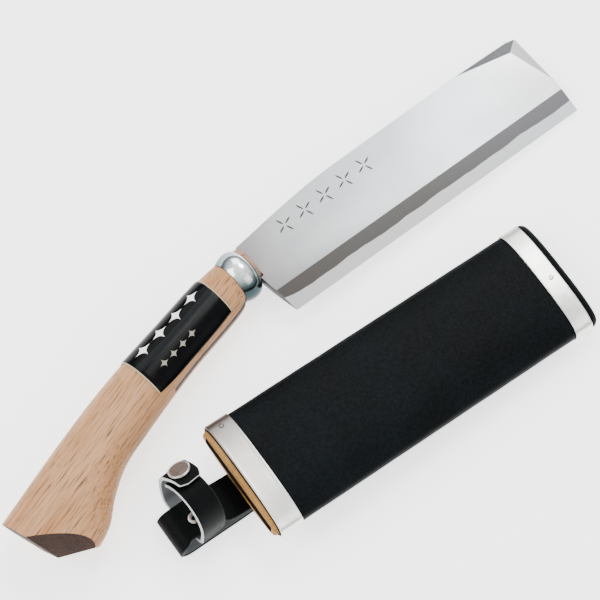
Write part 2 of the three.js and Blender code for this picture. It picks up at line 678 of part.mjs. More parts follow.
// From the free end under the flap, over the top, down the near side, along the
// floor and up the far side to the fold.
function strapLine() {
  const steps = 22;
  const arch = Array.from({ length: steps + 1 }, (_, i) => archPoint(THREE.MathUtils.lerp(STRAP_ARM_END, Math.PI, i / steps)));
  const cornerY = RING_HALF_WIDTH - RING_CORNER;
  const cornerZ = RING_FLOOR_Z + RING_CORNER;
  const near = arc(-cornerY, cornerZ, Math.PI, 1.5 * Math.PI, 6);
  const far = arc(cornerY, cornerZ, 1.5 * Math.PI, 2 * Math.PI, 6);
  const fold = [archPoint(0), archPoint(STRAP_HINGE_ANGLE)];
  return [...arch, ...near, ...far, ...fold];
}

// From the fold up the far side and over the end of the other arm.
function flapLine() {
  const steps = 26;
  const start = STRAP_HINGE_ANGLE + 0.022;
  return Array.from({ length: steps + 1 }, (_, i) => {
    const angle = THREE.MathUtils.lerp(start, FLAP_END, i / steps);
    const rise = THREE.MathUtils.smoothstep(angle, 0.16, 0.85);
    const settle = 1.5 * THREE.MathUtils.smoothstep(angle, 1.15, FLAP_END);
    return archPoint(angle, rise * (FLAP_LIFT - settle));
  });
}

// A strip of the ring, in the ring's frame: x along the ring's axis.
function ringStrip(line) {
  const shape = new THREE.Shape(stripOutline(line, STRAP_THICKNESS));
  const geometry = new THREE.ExtrudeGeometry(shape, { depth: STRAP_WIDTH, bevelEnabled: false });
  geometry.translate(0, 0, -STRAP_WIDTH / 2);
  const toRing = new THREE.Matrix4().makeBasis(
    new THREE.Vector3(0, 1, 0),
    new THREE.Vector3(0, 0, 1),
    new THREE.Vector3(1, 0, 0),
  );
  geometry.applyMatrix4(toRing);
  return toSolid(geometry);
}

// Takes the two corners off the flap's free end.
function chamferFlap(flap) {
  const end = archPoint(FLAP_END, FLAP_LIFT).x;
  const { along, across } = FLAP_CHAMFER;
  const cut = (rest, side) => {
    const corner = new THREE.Vector3(side * (STRAP_WIDTH / 2), end + along, 0);
    return cutBeyond(rest, corner, new THREE.Vector3(side * along, -across, 0));
  };
  return [1, -1].reduce(cut, flap);
}

// A turned piece of the snap, with its profile measured out from the middle of
// the arm that carries the stud.
function snapTurned(profile) {
  const middle = archPoint(SNAP_ANGLE);
  const normal = archNormal(SNAP_ANGLE);
  const base = new THREE.Vector3(SNAP_SHIFT, middle.x, middle.y);
  return turned(profile, base, new THREE.Vector3(0, normal.x, normal.y), 24);
}

const tube = (inner, outer, from, to) => [[inner, from], [outer, from], [outer, to], [inner, to], [inner, from]];

const flapUnder = FLAP_LIFT - STRAP_THICKNESS / 2;
const flapTop = FLAP_LIFT + STRAP_THICKNESS / 2;
const armTop = STRAP_THICKNESS / 2;

function snapCapSolid() {
  const dome = [[5.8, flapTop + 0.75], [5.3, flapTop + 1.15], [3.5, flapTop + 1.6], [0, flapTop + 1.75]];
  const barrel = [[0, flapUnder + GAP], [1.2, flapUnder + GAP], [1.2, flapTop + GAP], [5.6, flapTop + GAP]];
  return snapTurned([...barrel, ...dome]);
}

function snapSocketSolid() {
  return snapTurned(tube(2.5, 3.5, flapUnder - 2.0, flapUnder - 0.85));
}

function snapStudSolid() {
  const base = [[1.5, armTop + GAP], [4.6, armTop + GAP], [4.6, armTop + 0.7], [2.1, armTop + 0.8]];
  const ball = [[1.9, armTop + 1.2], [2.1, armTop + 1.7], [1.7, armTop + 2.1], [1.5, armTop + 2.1]];
  return snapTurned([...base, ...ball, [1.5, armTop + GAP]]);
}

function snapPostSolid() {
  const head = [[0, -armTop - 1.6], [2.8, -armTop - 1.5], [3.4, -armTop - 1.1], [3.4, -armTop - 0.8]];
  const barrel = [[1.1, -armTop - 0.8], [1.1, armTop + 1.8], [0, armTop + 1.8]];
  return snapTurned([...head, ...barrel]);
}

const snapHole = (radius) => snapTurned([[0, -6], [radius, -6], [radius, 12], [0, 12]]);

function ringRivetHole() {
  const offset = new THREE.Vector2(STRAP_RIVET.x - RING_CENTRE.x, STRAP_RIVET.y - RING_CENTRE.y);
  offset.rotateAround(new THREE.Vector2(), -RING_ANGLE);
  const radius = STRAP_RIVET.shankRadius + 2 * GAP;
  return rod(radius, new THREE.Vector3(offset.x, offset.y, 4), new THREE.Vector3(offset.x, offset.y, 16));
}

function buildStrap() {
  const ring = new THREE.Group();
  const base = ringStrip(strapLine()).subtract(snapHole(1.1 + GAP)).subtract(ringRivetHole());
  ring.add(mesh('strap_base', base, blackLeather));
  ring.add(mesh('strap_flap', chamferFlap(ringStrip(flapLine()).subtract(snapHoleInFlap())), blackLeather));
  ring.add(mesh('snap_cap', snapCapSolid(), nickel));
  ring.add(mesh('snap_socket', snapSocketSolid(), nickel));
  ring.add(mesh('snap_stud', snapStudSolid(), nickel));
  ring.add(mesh('snap_post', snapPostSolid(), nickel));
  ring.position.z = -RING_FLOOR_Z;
  const leaning = new THREE.Group();
  leaning.add(ring);
  leaning.rotation.set(0, RING_LEAN, RING_ANGLE, 'ZYX');
  leaning.position.set(RING_CENTRE.x, RING_CENTRE.y, RING_FLOOR_Z);
  return leaning;
}

const snapHoleInFlap = () => snapTurned([[0, flapUnder - 1], [1.2 + GAP, flapUnder - 1], [1.2 + GAP, 12], [0, 12]]);

// ---------------------------------------------------------------- the product
function buildProduct() {
  const besideKnife = new THREE.Group();
  besideKnife.add(buildSheath());
  besideKnife.add(mesh('hanging_loop', hangingLoopSolid(), blackLeather));
  besideKnife.add(mesh('strap_rivet', strapRivetSolid(), nickel));
  besideKnife.add(buildStrap());
  besideKnife.rotation.z = SHEATH_YAW;
  besideKnife.position.set(MOUTH.x, MOUTH.y, 0);
  const product = new THREE.Group();
  product.add(buildKnife(), besideKnife);
  product.updateMatrixWorld(true);
  const bounds = new THREE.Box3().setFromObject(product, true);
  product.position.set(-(bounds.min.x + bounds.max.x) / 2, -(bounds.min.y + bounds.max.y) / 2, -bounds.min.z);
  product.updateMatrixWorld(true);
  return product;
}

export default buildProduct();
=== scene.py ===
# %% [markdown]
# # A hatchet knife and its sheath
# A heavy knife with a wooden grip lies beside a leather-covered wooden sheath. A folded
# leather loop hangs at the sheath's mouth, and a strap with a press stud stands on the loop.
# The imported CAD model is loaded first, as a fixed frame. Every piece below is made in
# millimetres in its own simple frame, and one matrix puts it where the frame says.

# %% Load the frame
import json
import math
from functools import partial

import bmesh
import bpy
from mathutils import Matrix, Vector


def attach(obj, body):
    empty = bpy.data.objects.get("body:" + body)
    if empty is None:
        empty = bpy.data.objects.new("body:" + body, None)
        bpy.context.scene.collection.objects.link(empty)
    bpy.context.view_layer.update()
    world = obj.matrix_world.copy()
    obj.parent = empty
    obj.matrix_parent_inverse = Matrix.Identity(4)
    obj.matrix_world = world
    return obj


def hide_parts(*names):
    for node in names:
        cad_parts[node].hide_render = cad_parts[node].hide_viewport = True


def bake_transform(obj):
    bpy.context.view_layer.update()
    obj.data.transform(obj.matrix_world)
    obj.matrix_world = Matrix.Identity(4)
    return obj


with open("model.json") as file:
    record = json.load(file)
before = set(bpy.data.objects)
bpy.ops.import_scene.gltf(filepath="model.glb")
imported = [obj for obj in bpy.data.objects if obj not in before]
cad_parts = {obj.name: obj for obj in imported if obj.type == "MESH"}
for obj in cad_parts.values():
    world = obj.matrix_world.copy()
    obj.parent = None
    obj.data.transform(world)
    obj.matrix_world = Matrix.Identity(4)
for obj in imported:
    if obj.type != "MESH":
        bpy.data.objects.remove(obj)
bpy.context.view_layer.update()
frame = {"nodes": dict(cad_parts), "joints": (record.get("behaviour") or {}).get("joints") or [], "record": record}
MM = 0.001

# %% [markdown]
# The knife leans a little, because it rests on its ferrule and on the front of the blade.
# The mount on the flat of the blade gives that lean, and the hinge of the hanging loop
# gives the way the sheath points. The strap's ring is turned and leans once more.

# %% The frames of the knife, the sheath, the loop and the strap
MOUNT_IN_KNIFE = Vector((80, 30, 3))
HINGE_IN_BESIDE = Vector((-3.8, 0, 8.3))
MOUTH_HEIGHT, FAR_END_HEIGHT, SHEATH_LENGTH = 19.4, 10.6, 185.7
STRAP_FLOOR = 9.5
RING_TURN, RING_LEAN = math.radians(6.5), math.radians(5.5)

mount = frame["record"]["mounts"][0]
joints = {joint["name"]: joint for joint in frame["joints"]}
up = Vector(mount["axis"])
KNIFE_TILT = math.atan2(up.x, up.z)
KNIFE = Matrix.Translation(Vector(mount["pos_m"])) @ Matrix.Rotation(KNIFE_TILT, 4, "Y")
KNIFE = KNIFE @ Matrix.Translation(-MOUNT_IN_KNIFE * MM)
hinge = Vector(joints["loop_flex"]["axis"])
SHEATH_YAW = math.atan2(-hinge.x, hinge.y)
BESIDE = Matrix.Translation(Vector(joints["loop_flex"]["pos_m"])) @ Matrix.Rotation(SHEATH_YAW, 4, "Z")
BESIDE = BESIDE @ Matrix.Translation(-HINGE_IN_BESIDE * MM)
SHEATH_TILT = math.asin((MOUTH_HEIGHT - FAR_END_HEIGHT) / SHEATH_LENGTH)
SHEATH = BESIDE @ Matrix.Translation((0, 0, MOUTH_HEIGHT * MM)) @ Matrix.Rotation(SHEATH_TILT, 4, "Y")
ring_place = Matrix.Translation(Vector((-27, 4.55, STRAP_FLOOR)) * MM)
RING = BESIDE @ ring_place @ Matrix.Rotation(RING_TURN, 4, "Z")
RING = RING @ Matrix.Rotation(RING_LEAN, 4, "Y") @ Matrix.Translation((0, 0, -STRAP_FLOOR * MM))
print("knife tilt", round(math.degrees(KNIFE_TILT), 2), "sheath yaw", round(math.degrees(SHEATH_YAW), 2))

# %% [markdown]
# The camera looks down from seventy degrees with a long lens, so the shapes hardly
# converge.

# %% Camera
def shown(name, data):
    """Puts a mesh, a lamp or a camera into the scene as an object."""
    made = bpy.data.objects.new(name, data)
    bpy.context.collection.objects.link(made)
    return made


LOOK_DOWN, DISTANCE = math.radians(70), 1.4
TARGET = Vector((6.33, 29.09, 0.05)) * MM
level = math.cos(LOOK_DOWN)
toward_camera = Vector((-0.6158 * level, -0.7879 * level, math.sin(LOOK_DOWN)))
camera_data = bpy.data.cameras.new("camera")
camera_data.lens = 170.2
camera_data.sensor_width = 36
camera = shown("camera", camera_data)
camera.location = TARGET + toward_camera * DISTANCE
camera.rotation_euler = (-toward_camera).to_track_quat("-Z", "Y").to_euler()
bpy.context.scene.camera = camera
print("camera at", [round(value, 3) for value in camera.location])

# %% Colours and the one function that adds a node
MIX, NOISE, RAMP = "ShaderNodeMix", "ShaderNodeTexNoise", "ShaderNodeValToRGB"
MAPPING, AXES, COORDINATES = "ShaderNodeMapping", "ShaderNodeSeparateXYZ", "ShaderNodeTexCoord"
OVER = {"data_type": "RGBA"}
TIMES = {"data_type": "RGBA", "blend_type": "MULTIPLY"}


def srgb(code):
    """The linear colour of an sRGB hex value."""
    parts = [int(code[i:i + 2], 16) / 255 for i in (1, 3, 5)]
    return tuple(p / 12.92 if p <= 0.04045 else ((p + 0.055) / 1.055) ** 2.4 for p in parts) + (1.0,)


def add(tree, kind, *values, out=None, stops=(), **named):
    """Adds a node and returns its first output, or the output called `out`.

    Inputs come in order or by name, each as a value or as the socket that feeds it. A name that
    is no input is a setting of the node. A kind in capitals is the operation of a Math node, and
    a colour ramp takes (position, hex colour) stops."""
    node = tree.nodes.new("ShaderNodeMath" if kind.isupper() else kind)
    if kind.isupper():
        node.operation = kind
    by_name = {}
    for key, value in named.items():
        if key.replace("_", " ") in node.inputs:
            by_name[key.replace("_", " ")] = value
        else:
            setattr(node, key, value)
    fed = list(zip([socket for socket in node.inputs if socket.enabled], values))
    for socket, value in fed + [(node.inputs[key], value) for key, value in by_name.items()]:
        if isinstance(value, bpy.types.NodeSocket):
            tree.links.new(value, socket)
        else:
            socket.default_value = value
    if stops:
        marks = node.color_ramp.elements
        while len(marks) < len(stops):
            marks.new(0.5)
        for mark, (position, code) in zip(marks, stops):
            mark.position, mark.color = position, srgb(code)
    return next((socket for socket in node.outputs if socket.enabled and out in (None, socket.name)), None)


def new_material(name):
    """A material with no nodes, and the function above with that material as its tree."""
    finish = bpy.data.materials.new(name)
    finish.use_nodes = True
    finish.node_tree.nodes.clear()
    return finish, partial(add, finish.node_tree)


def finish_off(node, color, roughness, bump=None, strength=0.2, distance=0.0001, **fixed):
    """The shader of every material here: colour, roughness and bump come from its pattern."""
    if bump is not None:
        fixed["Normal"] = node("ShaderNodeBump", Height=bump, Strength=strength, Distance=distance)
    shader = node("ShaderNodeBsdfPrincipled", Base_Color=color, Roughness=roughness, **fixed)
    node("ShaderNodeOutputMaterial", shader)


def placed(node, place):
    """Object coordinates turned back into a piece's own frame, in metres."""
    back = place.inverted()
    return node(MAPPING, node(COORDINATES, out="Object"), back.to_translation(), back.to_euler())


def stretched(node, vector, *lengths):
    """Scales a pattern so that its features have these lengths on x, y and z, in millimetres."""
    return node(MAPPING, vector, Scale=[1 / (length * MM) for length in lengths])


print("helpers ready; mid grey is", round(srgb("#808080")[0], 3))

# %% [markdown]
# ## Floor and light
# A white sweep under a bright sky gives a nearly shadowless picture. The paper gives off a little
# light of its own, which keeps it near white. The sky is bright above and darker near the horizon,
# so that chrome has something dark to show.

# %% Floor, sky and lamps
FLOOR_REACH = 4

# Uncoated paper: an even white with no shine.
floor_paper, node = new_material("matt_white_paper")
fibre = node(NOISE, Vector=node(COORDINATES, out="Object"), Scale=900.0)
finish_off(node, node(RAMP, fibre, stops=[(0.3, "#fbfbfb"), (0.7, "#ffffff")]), 0.9,
           Emission_Color=(1.0, 1.0, 1.0, 1.0), Emission_Strength=1.7)
floor_mesh = bpy.data.meshes.new("floor")
floor_corners = [(FLOOR_REACH * x, FLOOR_REACH * y, 0) for x, y in ((-1, -1), (1, -1), (1, 1), (-1, 1))]
floor_mesh.from_pydata(floor_corners, [], [(0, 1, 2, 3)])
floor_mesh.materials.append(floor_paper)
floor = shown("floor", floor_mesh)

sky = bpy.data.worlds.new("studio_sky")
sky.use_nodes = True
bpy.context.scene.world = sky
sky.node_tree.nodes.clear()
node = partial(add, sky.node_tree)
height = node(AXES, node(COORDINATES, out="Generated"), out="Z")
glow = node(RAMP, height, stops=[(0.0, "#7c7e82"), (0.3, "#999b9e"), (0.55, "#e8e9ea"), (1.0, "#ffffff")])
node("ShaderNodeOutputWorld", node("ShaderNodeBackground", Color=glow, Strength=1.7))


def lamp(name, place, size, watts):
    data = bpy.data.lights.new(name, "AREA")
    data.size = size
    data.energy = watts
    soft_box = shown(name, data)
    soft_box.location = place
    soft_box.rotation_euler = (TARGET - Vector(place)).to_track_quat("-Z", "Y").to_euler()


lamp("soft_box_left", (-0.9, 0.5, 1.1), 0.9, 14)
lamp("soft_box_far", (0.6, 1.3, 1.2), 1.2, 14)
lamp("soft_box_near", (0.3, -1.2, 1.0), 1.0, 6)
lamp("soft_box_over_the_tip", (0.58, 0.41, 1.25), 0.45, 9)
print("four soft boxes")

# %% [markdown]
# ## Making meshes
# Nearly every piece is a skin over a row of loops: a grip is ovals along a curve, a strap is
# a rounded strip along its path, and a turned piece is circles along an axis. So one function
# makes the skin, and one function turns it into a finished object at the origin.

# %% Skins, pieces and smooth lines
def skin(loops, joined=False):
    """Corners and faces of a closed skin; `joined` meets the last loop with the first."""
    count = len(loops[0])
    corners = [point for loop in loops for point in loop]
    faces = []
    for i in range(len(loops) if joined else len(loops) - 1):
        here, there = i * count, ((i + 1) % len(loops)) * count
        for j in range(count):
            k = (j + 1) % count
            faces.append((here + j, here + k, there + k, there + j))
    if not joined:
        faces.append(tuple(reversed(range(count))))
        faces.append(tuple(range(len(corners) - count, len(corners))))
    return corners, faces


def finished(work, name, finishes, sharp):
    """A smooth object from a work mesh, with creases where it bends more than `sharp` degrees."""
    mesh = bpy.data.meshes.new(name)
    work.to_mesh(mesh)
    work.free()
    mesh.shade_smooth()
    mesh.set_sharp_from_angle(angle=math.radians(sharp))
    for finish in finishes:
        mesh.materials.append(finish)
    return shown(name, mesh)


def piece(name, parts, place, finishes, sharp=35, cut=None):
    """One object from several skins given in millimetres in the frame `place`.

    A skin is (corners, faces), or (corners, faces, which finish each face takes). `cut` is a
    function that works on the mesh before it is placed."""
    work = bmesh.new()
    for corners, faces, *rest in parts:
        made = [work.verts.new(Vector(point)) for point in corners]
        choices = rest[0] if rest else [0] * len(faces)
        for face, choice in zip(faces, choices):
            work.faces.new([made[i] for i in face]).material_index = choice
    bmesh.ops.remove_doubles(work, verts=work.verts, dist=0.0005)
    bmesh.ops.recalc_face_normals(work, faces=work.faces)
    if cut:
        cut(work)
    bmesh.ops.transform(work, matrix=place @ Matrix.Scale(MM, 4), verts=work.verts)
    return finished(work, name, finishes, sharp)


def stands_for(made, body, slot, *nodes):
    """The piece rides on a body and is shown instead of these CAD nodes."""
    if body:
        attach(made, body)
    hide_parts(*nodes)
    triangles = sum(len(face.vertices) - 2 for face in made.data.polygons)
    print(f"{made.name}: {triangles} triangles for {', '.join(nodes)}")


def smooth_line(points, count, fineness=24):
    """A centripetal Catmull-Rom line through the points, evenly spaced along its length."""
    line = [Vector(point) for point in points]
    line = [2 * line[0] - line[1]] + line + [2 * line[-1] - line[-2]]
    dense = []
    for i in range(len(line) - 3):
        p0, p1, p2, p3 = line[i:i + 4]
        t1 = max(1e-6, (p1 - p0).length ** 0.5)
        t2 = t1 + max(1e-6, (p2 - p1).length ** 0.5)
        t3 = t2 + max(1e-6, (p3 - p2).length ** 0.5)
        for step in range(fineness):
            t = t1 + (t2 - t1) * step / fineness
            a1 = p0 * ((t1 - t) / t1) + p1 * (t / t1)
            a2 = p1 * ((t2 - t) / (t2 - t1)) + p2 * ((t - t1) / (t2 - t1))
            a3 = p2 * ((t3 - t) / (t3 - t2)) + p3 * ((t - t2) / (t3 - t2))
            b1 = a1 * ((t2 - t) / t2) + a2 * (t / t2)
            b2 = a2 * ((t3 - t) / (t3 - t1)) + a3 * ((t - t1) / (t3 - t1))
            dense.append(b1 * ((t2 - t) / (t2 - t1)) + b2 * ((t - t1) / (t2 - t1)))
    return resampled(dense + [line[-2]], count)


def resampled(line, count):
    """The line again, as `count` points evenly spaced along its length."""
    lengths = [0.0]
    for a, b in zip(line, line[1:]):
        lengths.append(lengths[-1] + (b - a).length)
    out, i = [], 0
    for step in range(count):
        goal = lengths[-1] * step / (count - 1)
        while i < len(line) - 2 and lengths[i + 1] < goal:
            i += 1
        part = (goal - lengths[i]) / max(1e-9, lengths[i + 1] - lengths[i])
        out.append(line[i].lerp(line[i + 1], min(1.0, part)))
    return out


def circle(count):
    """Evenly spaced angles once round."""
    return [2 * math.pi * j / count for j in range(count)]


def turned_skin(profile, base, direction, segments=96):
    """A turned skin: the profile lists (radius, distance along the axis), axis to axis."""
    axis = Vector(direction).normalized()
    side = axis.orthogonal().normalized()
    other = axis.cross(side)
    loops = []
    for radius, distance in profile:
        middle = Vector(base) + axis * distance
        loops.append([middle + (side * math.cos(t) + other * math.sin(t)) * radius for t in circle(segments)])
    return skin(loops)


def rounded_profile(points, radius=0.25, steps=4):
    """Rounds the inner corners of a turned profile, by less than half of each side."""
    out = [Vector(points[0])]
    for before, corner, after in zip(points, points[1:], points[2:]):
        corner = Vector(corner)
        back, ahead = Vector(before) - corner, Vector(after) - corner
        cut = min(radius, back.length * 0.45, ahead.length * 0.45)
        start, end = corner + back.normalized() * cut, corner + ahead.normalized() * cut
        for step in range(steps + 1):
            t = step / steps
            out.append(start * (1 - t) ** 2 + corner * 2 * t * (1 - t) + end * t ** 2)
    return [tuple(point) for point in out + [Vector(points[-1])]]


print("mesh helpers ready")

# %% [markdown]
# ## The blade
# The blade is laminated: a soft iron body with a hard steel edge forged onto it. The flat is
# ground and pale. On the bevel the soft iron shows as a dark grey band, and the steel as a bright
# one, with a wavy line between them where the two were welded. The CAD blade already has the
# right facets, so a copy of it is merged, its edges get a tiny bevel, and its faces are
# sorted by the way they point.

# %% Steel finishes
BLADE_LENGTH = 0.18


def brushed(node, vector, along=30, across=0.35):
    """Fine grinding lines. Real grit lines are finer still; these are as fine as show."""
    return node(NOISE, Vector=stretched(node, vector, across, along, 5), Scale=1.0, Detail=3.0)


# Ground iron: a pale flat that mirrors the room softly. It is painted brighter toward the tip, a painted highlight
# where it faces the lamps.
ground_flat, node = new_material("ground_soft_iron_flat")
local = placed(node, KNIFE)
toward_tip = node("DIVIDE", node(AXES, local, out="X"), BLADE_LENGTH)
grind = brushed(node, local)
cloud = node(NOISE, Vector=local, Scale=28.0, Detail=4.0)
tone = node(RAMP, toward_tip, stops=[
    (0.0, "#868486"), (0.15, "#979a9b"), (0.5, "#a3a8ab"), (0.8, "#dde2e5"), (1.0, "#ffffff")])
tone = node(MIX, 0.10, tone, node(RAMP, grind, stops=[(0.3, "#8d9092"), (0.7, "#ffffff")]), **TIMES)
tone = node(MIX, 0.12, tone, node(RAMP, cloud, stops=[(0.35, "#a39c98"), (0.65, "#ffffff")]), **TIMES)
rough = node("MULTIPLY_ADD", grind, 0.14, 0.30)
finish_off(node, tone, rough, bump=grind, strength=0.12, distance=0.00005, Metallic=0.9)

# The bevel: dark grey iron above bright steel. The weld line waves and rises at the heel.
LINE_HEIGHT, LINE_WAVE, HEEL_RISE = 0.0043, 0.0034, 0.0016
ground_bevel, node = new_material("soft_iron_and_steel_bevel")
local = placed(node, KNIFE)
axes = node(AXES, local).node.outputs
wave = node(NOISE, Vector=stretched(node, local, 26, 900, 900), Scale=1.0, Detail=2.5, Roughness=0.55)
ripple = node("MULTIPLY_ADD", wave, LINE_WAVE, LINE_HEIGHT)
fading = node("POWER", 0.9, node("MULTIPLY", axes["X"], 1300.0))
line = node("ADD", ripple, node("MULTIPLY", fading, HEEL_RISE))
above_line = node("MULTIPLY", node("SUBTRACT", axes["Y"], line), 2600.0)
is_iron = node("MINIMUM", node("MAXIMUM", above_line, 0.0), 1.0)
grind = brushed(node, local)
toward_tip = node("DIVIDE", axes["X"], BLADE_LENGTH)
# Both the iron and the steel are painted lighter toward the tip, a painted highlight where the blade faces the lamps.
iron = node(RAMP, toward_tip, stops=[(0.0, "#4f4c4a"), (0.5, "#5d5c5a"), (1.0, "#77777b")])
iron = node(MIX, 0.06, iron, node(RAMP, grind, stops=[(0.3, "#6a6a6a"), (0.7, "#ffffff")]), **TIMES)
steel = node(RAMP, toward_tip, stops=[(0.0, "#c4c6c4"), (0.5, "#dadad9"), (1.0, "#eceff2")])
tone = node(MIX, is_iron, steel, iron, **OVER)
rough = node("MULTIPLY_ADD", is_iron, 0.16, 0.28)
finish_off(node, tone, rough, bump=grind, strength=0.05, distance=0.00002, Metallic=0.9)


def facet_finish(name, shade, light):
    """A corner facet ground on a coarse belt: one tone with crosswise grinding lines."""
    finish, node = new_material(name)
    grind = brushed(node, placed(node, KNIFE), 12, 0.3)
    tone = node(RAMP, grind, stops=[(0.25, shade), (0.75, light)])
    finish_off(node, tone, 0.36, bump=grind, strength=0.1, distance=0.00005, Metallic=0.9)
    return finish


# The spine facet and the front facet are the same belt-ground steel: the spine facet is painted darker as painted
# shade, the front facet near white as a painted highlight.
spine_painted_shade_facet = facet_finish("belt_ground_spine_painted_shade", "#5f6162", "#747677")
front_painted_highlight_facet = facet_finish("belt_ground_front_painted_highlight", "#e6e6e6", "#ffffff")
# The thin side faces of the blade, at the spine, the chin and the front, are painted near black: painted shade on
# faces turned away from the light.
edge_faces_painted_shade = facet_finish("blade_edge_faces_painted_shade", "#0c0d0e", "#1b1d1e")
BLADE_FINISHES = [ground_flat, ground_bevel, spine_painted_shade_facet, front_painted_highlight_facet, edge_faces_painted_shade]
print("blade finishes", [finish.name for finish in BLADE_FINISHES])


# %% The blade itself
def blade_face(normal):
    """Which finish a face of the blade takes, from its normal in the knife's frame."""
    if abs(normal.z) > 0.9995:
        return 0
    if abs(normal.z) > 0.8 and normal.y < -0.1:
        return 1
    if abs(normal.z) > 0.5 and normal.x > abs(normal.y):
        return 3
    return 2 if abs(normal.z) > 0.5 else 4


def ease_edges(work, sharper_than, offset):
    """Bevels every edge that bends more than so many degrees."""
    bent = [edge for edge in work.edges if edge.is_manifold and edge.calc_face_angle(0) > math.radians(sharper_than)]
    bmesh.ops.bevel(work, geom=bent, offset=offset, segments=2, profile=0.6, affect="EDGES", clamp_overlap=True)


def merged_copy(cad_node, name, finishes, bevel, sharp, choose=lambda normal: 0, place=Matrix()):
    """A copy of a CAD node with its triangles joined, its edges eased and new finishes."""
    work = bmesh.new()
    work.from_mesh(frame["nodes"][cad_node].data)
    bmesh.ops.remove_doubles(work, verts=work.verts, dist=2e-6)
    bmesh.ops.dissolve_limit(work, angle_limit=math.radians(0.6), verts=work.verts, edges=work.edges)
    turn_back = place.to_3x3().inverted()
    for face in work.faces:
        face.material_index = choose(turn_back @ face.normal)
    ease_edges(work, sharp, bevel * MM)
    return finished(work, name, finishes, 32)


blade = merged_copy("blade", "laminated_blade", BLADE_FINISHES, 0.14, 9, blade_face, KNIFE)
stands_for(blade, "knife", "forged_steel", "blade")

# %% [markdown]
# ## The grip
# The grip is plain sawn oak with a thin clear finish: a pale pinkish brown with long fine pores
# and faint growth rings. Its section is a soft oval that widens towards the belly, and the butt is cut
# with several flat facets, which show end grain, painted darker for the end grain and also as painted shade.

# %% Wood finishes
KERF_BACK, KERF_MIDDLE, KERF_HALF = -0.0732, 0.0026, 0.0015
HOLLOW_HALF_HEIGHT, HOLLOW_HALF_WIDTH = 0.00368, 0.02728


def wood(name, place, light, middle, dark, lean=0.0, pores=1.0, gloss=0.5, kerf=False, hollow=False):
    """Sawn wood: growth rings as bands, long thin pores and a slow change of tone.

    `kerf` paints shade into the saw cut along the belly of the grip, and `hollow` paints shade into the sheath's
    hollow inside."""
    finish, node = new_material(name)
    local = placed(node, place)
    axes = node(AXES, local).node.outputs
    turned = node(MAPPING, local, Rotation=(0.0, 0.0, math.radians(lean)))
    warp = node(NOISE, Vector=stretched(node, turned, 90, 18, 18), Scale=1.0, Detail=2.0, out="Color")
    rings = node("ShaderNodeVectorMath", stretched(node, turned, 160, 2.4, 3.6), warp, operation="ADD")
    band = node(NOISE, Vector=rings, Scale=1.0, Detail=3.0, Roughness=0.6)
    slow = node(NOISE, Vector=stretched(node, turned, 60, 14, 14), Scale=1.0, Detail=2.0)
    pore = node(NOISE, Vector=stretched(node, turned, 16, 0.38, 0.38), Scale=1.0, Detail=2.0)
    fleck = node("ShaderNodeMapRange", Value=pore, From_Min=0.57, From_Max=0.66)
    tone = node(RAMP, band, stops=[(0.30, middle), (0.52, light), (0.72, middle)])
    tone = node(MIX, 0.45, tone, node(RAMP, slow, stops=[(0.35, middle), (0.65, light)]), **OVER)
    tone = node(MIX, node("MULTIPLY", fleck, 0.85 * pores), tone, srgb(dark), **OVER)
    rough = node("MULTIPLY_ADD", fleck, 0.2, gloss)
    relief = node("SUBTRACT", node("MULTIPLY", band, 0.3), fleck)
    if kerf:
        belly = node("MULTIPLY_ADD", axes["X"], 0.29, 0.0275)
        below = node("LESS_THAN", axes["Y"], belly)
        front = node("GREATER_THAN", axes["X"], KERF_BACK)
        away = node("ABSOLUTE", node("SUBTRACT", axes["Z"], KERF_MIDDLE))
        thin = node("LESS_THAN", away, KERF_HALF)
        inside = node("MULTIPLY", node("MULTIPLY", below, front), thin)
        # The saw cut is painted near black: painted shade in the slot.
        tone = node(MIX, inside, tone, srgb("#1d1512"), **OVER)
        cut = node("MULTIPLY", inside, 6.0)
        relief = node("SUBTRACT", relief, cut)
    if hollow:
        low, narrow = (
            node("LESS_THAN", node("ABSOLUTE", axes[axis]), half)
            for axis, half in (("Z", HOLLOW_HALF_HEIGHT), ("Y", HOLLOW_HALF_WIDTH)))
        inside = node("MULTIPLY", low, narrow)
        # The hollow inside is painted near black: painted shade inside the sheath.
        tone = node(MIX, inside, tone, srgb("#120c06"), **OVER)
    finish_off(node, tone, rough, bump=relief, strength=0.3, distance=0.00015, Specular_IOR_Level=0.15)
    return finish


# Oak gives long dark pores on a warm brown; its end grain is darker, and darker still as painted shade on the butt's
# facets. Magnolia is plain and pale.
grip_oak = wood("oiled_oak_grip", KNIFE, "#bb8f68", "#9a683f", "#3f2415", lean=-18.0, kerf=True)
butt_grain_and_painted_shade = wood("oak_butt_grain_and_painted_shade", KNIFE, "#3b2a23", "#2c1e19", "#18100d", lean=100.0, pores=0.9, gloss=0.6)
sheath_wood = wood("magnolia_sheath_wood", SHEATH, "#a67c45", "#886032", "#4e3519", pores=0.5, gloss=0.6, hollow=True)
print("wood finishes", grip_oak.name, butt_grain_and_painted_shade.name, sheath_wood.name)


# %% The oval sections of the grip
SPINE_EDGE = [(-18.95, 42.05), (-30, 40.6), (-60, 33.8), (-98, 24.9), (-135, 13.3), (-184, -4.2)]
BELLY_EDGE = [(-16.5, 18.9), (-20, 16.2), (-60, 5.4), (-95, -6.2), (-114, -13.6), (-128, -23.6),
              (-138, -33), (-150, -38.9), (-172, -43)]
GRIP_HALF_FRONT, GRIP_HALF_BACK = 11.65, 13.4
SECTIONS = 121
spine_line = smooth_line([(x, y, 0) for x, y in SPINE_EDGE], SECTIONS)
belly_line = smooth_line([(x, y, 0) for x, y in BELLY_EDGE], SECTIONS)


def lerp(a, b, t):
    return a + (b - a) * t


def ease(value, low, high):
    t = min(1.0, max(0.0, (value - low) / (high - low)))
    return t * t * (3 - 2 * t)


def signed_power(value, power):
    return math.copysign(abs(value) ** power, value)


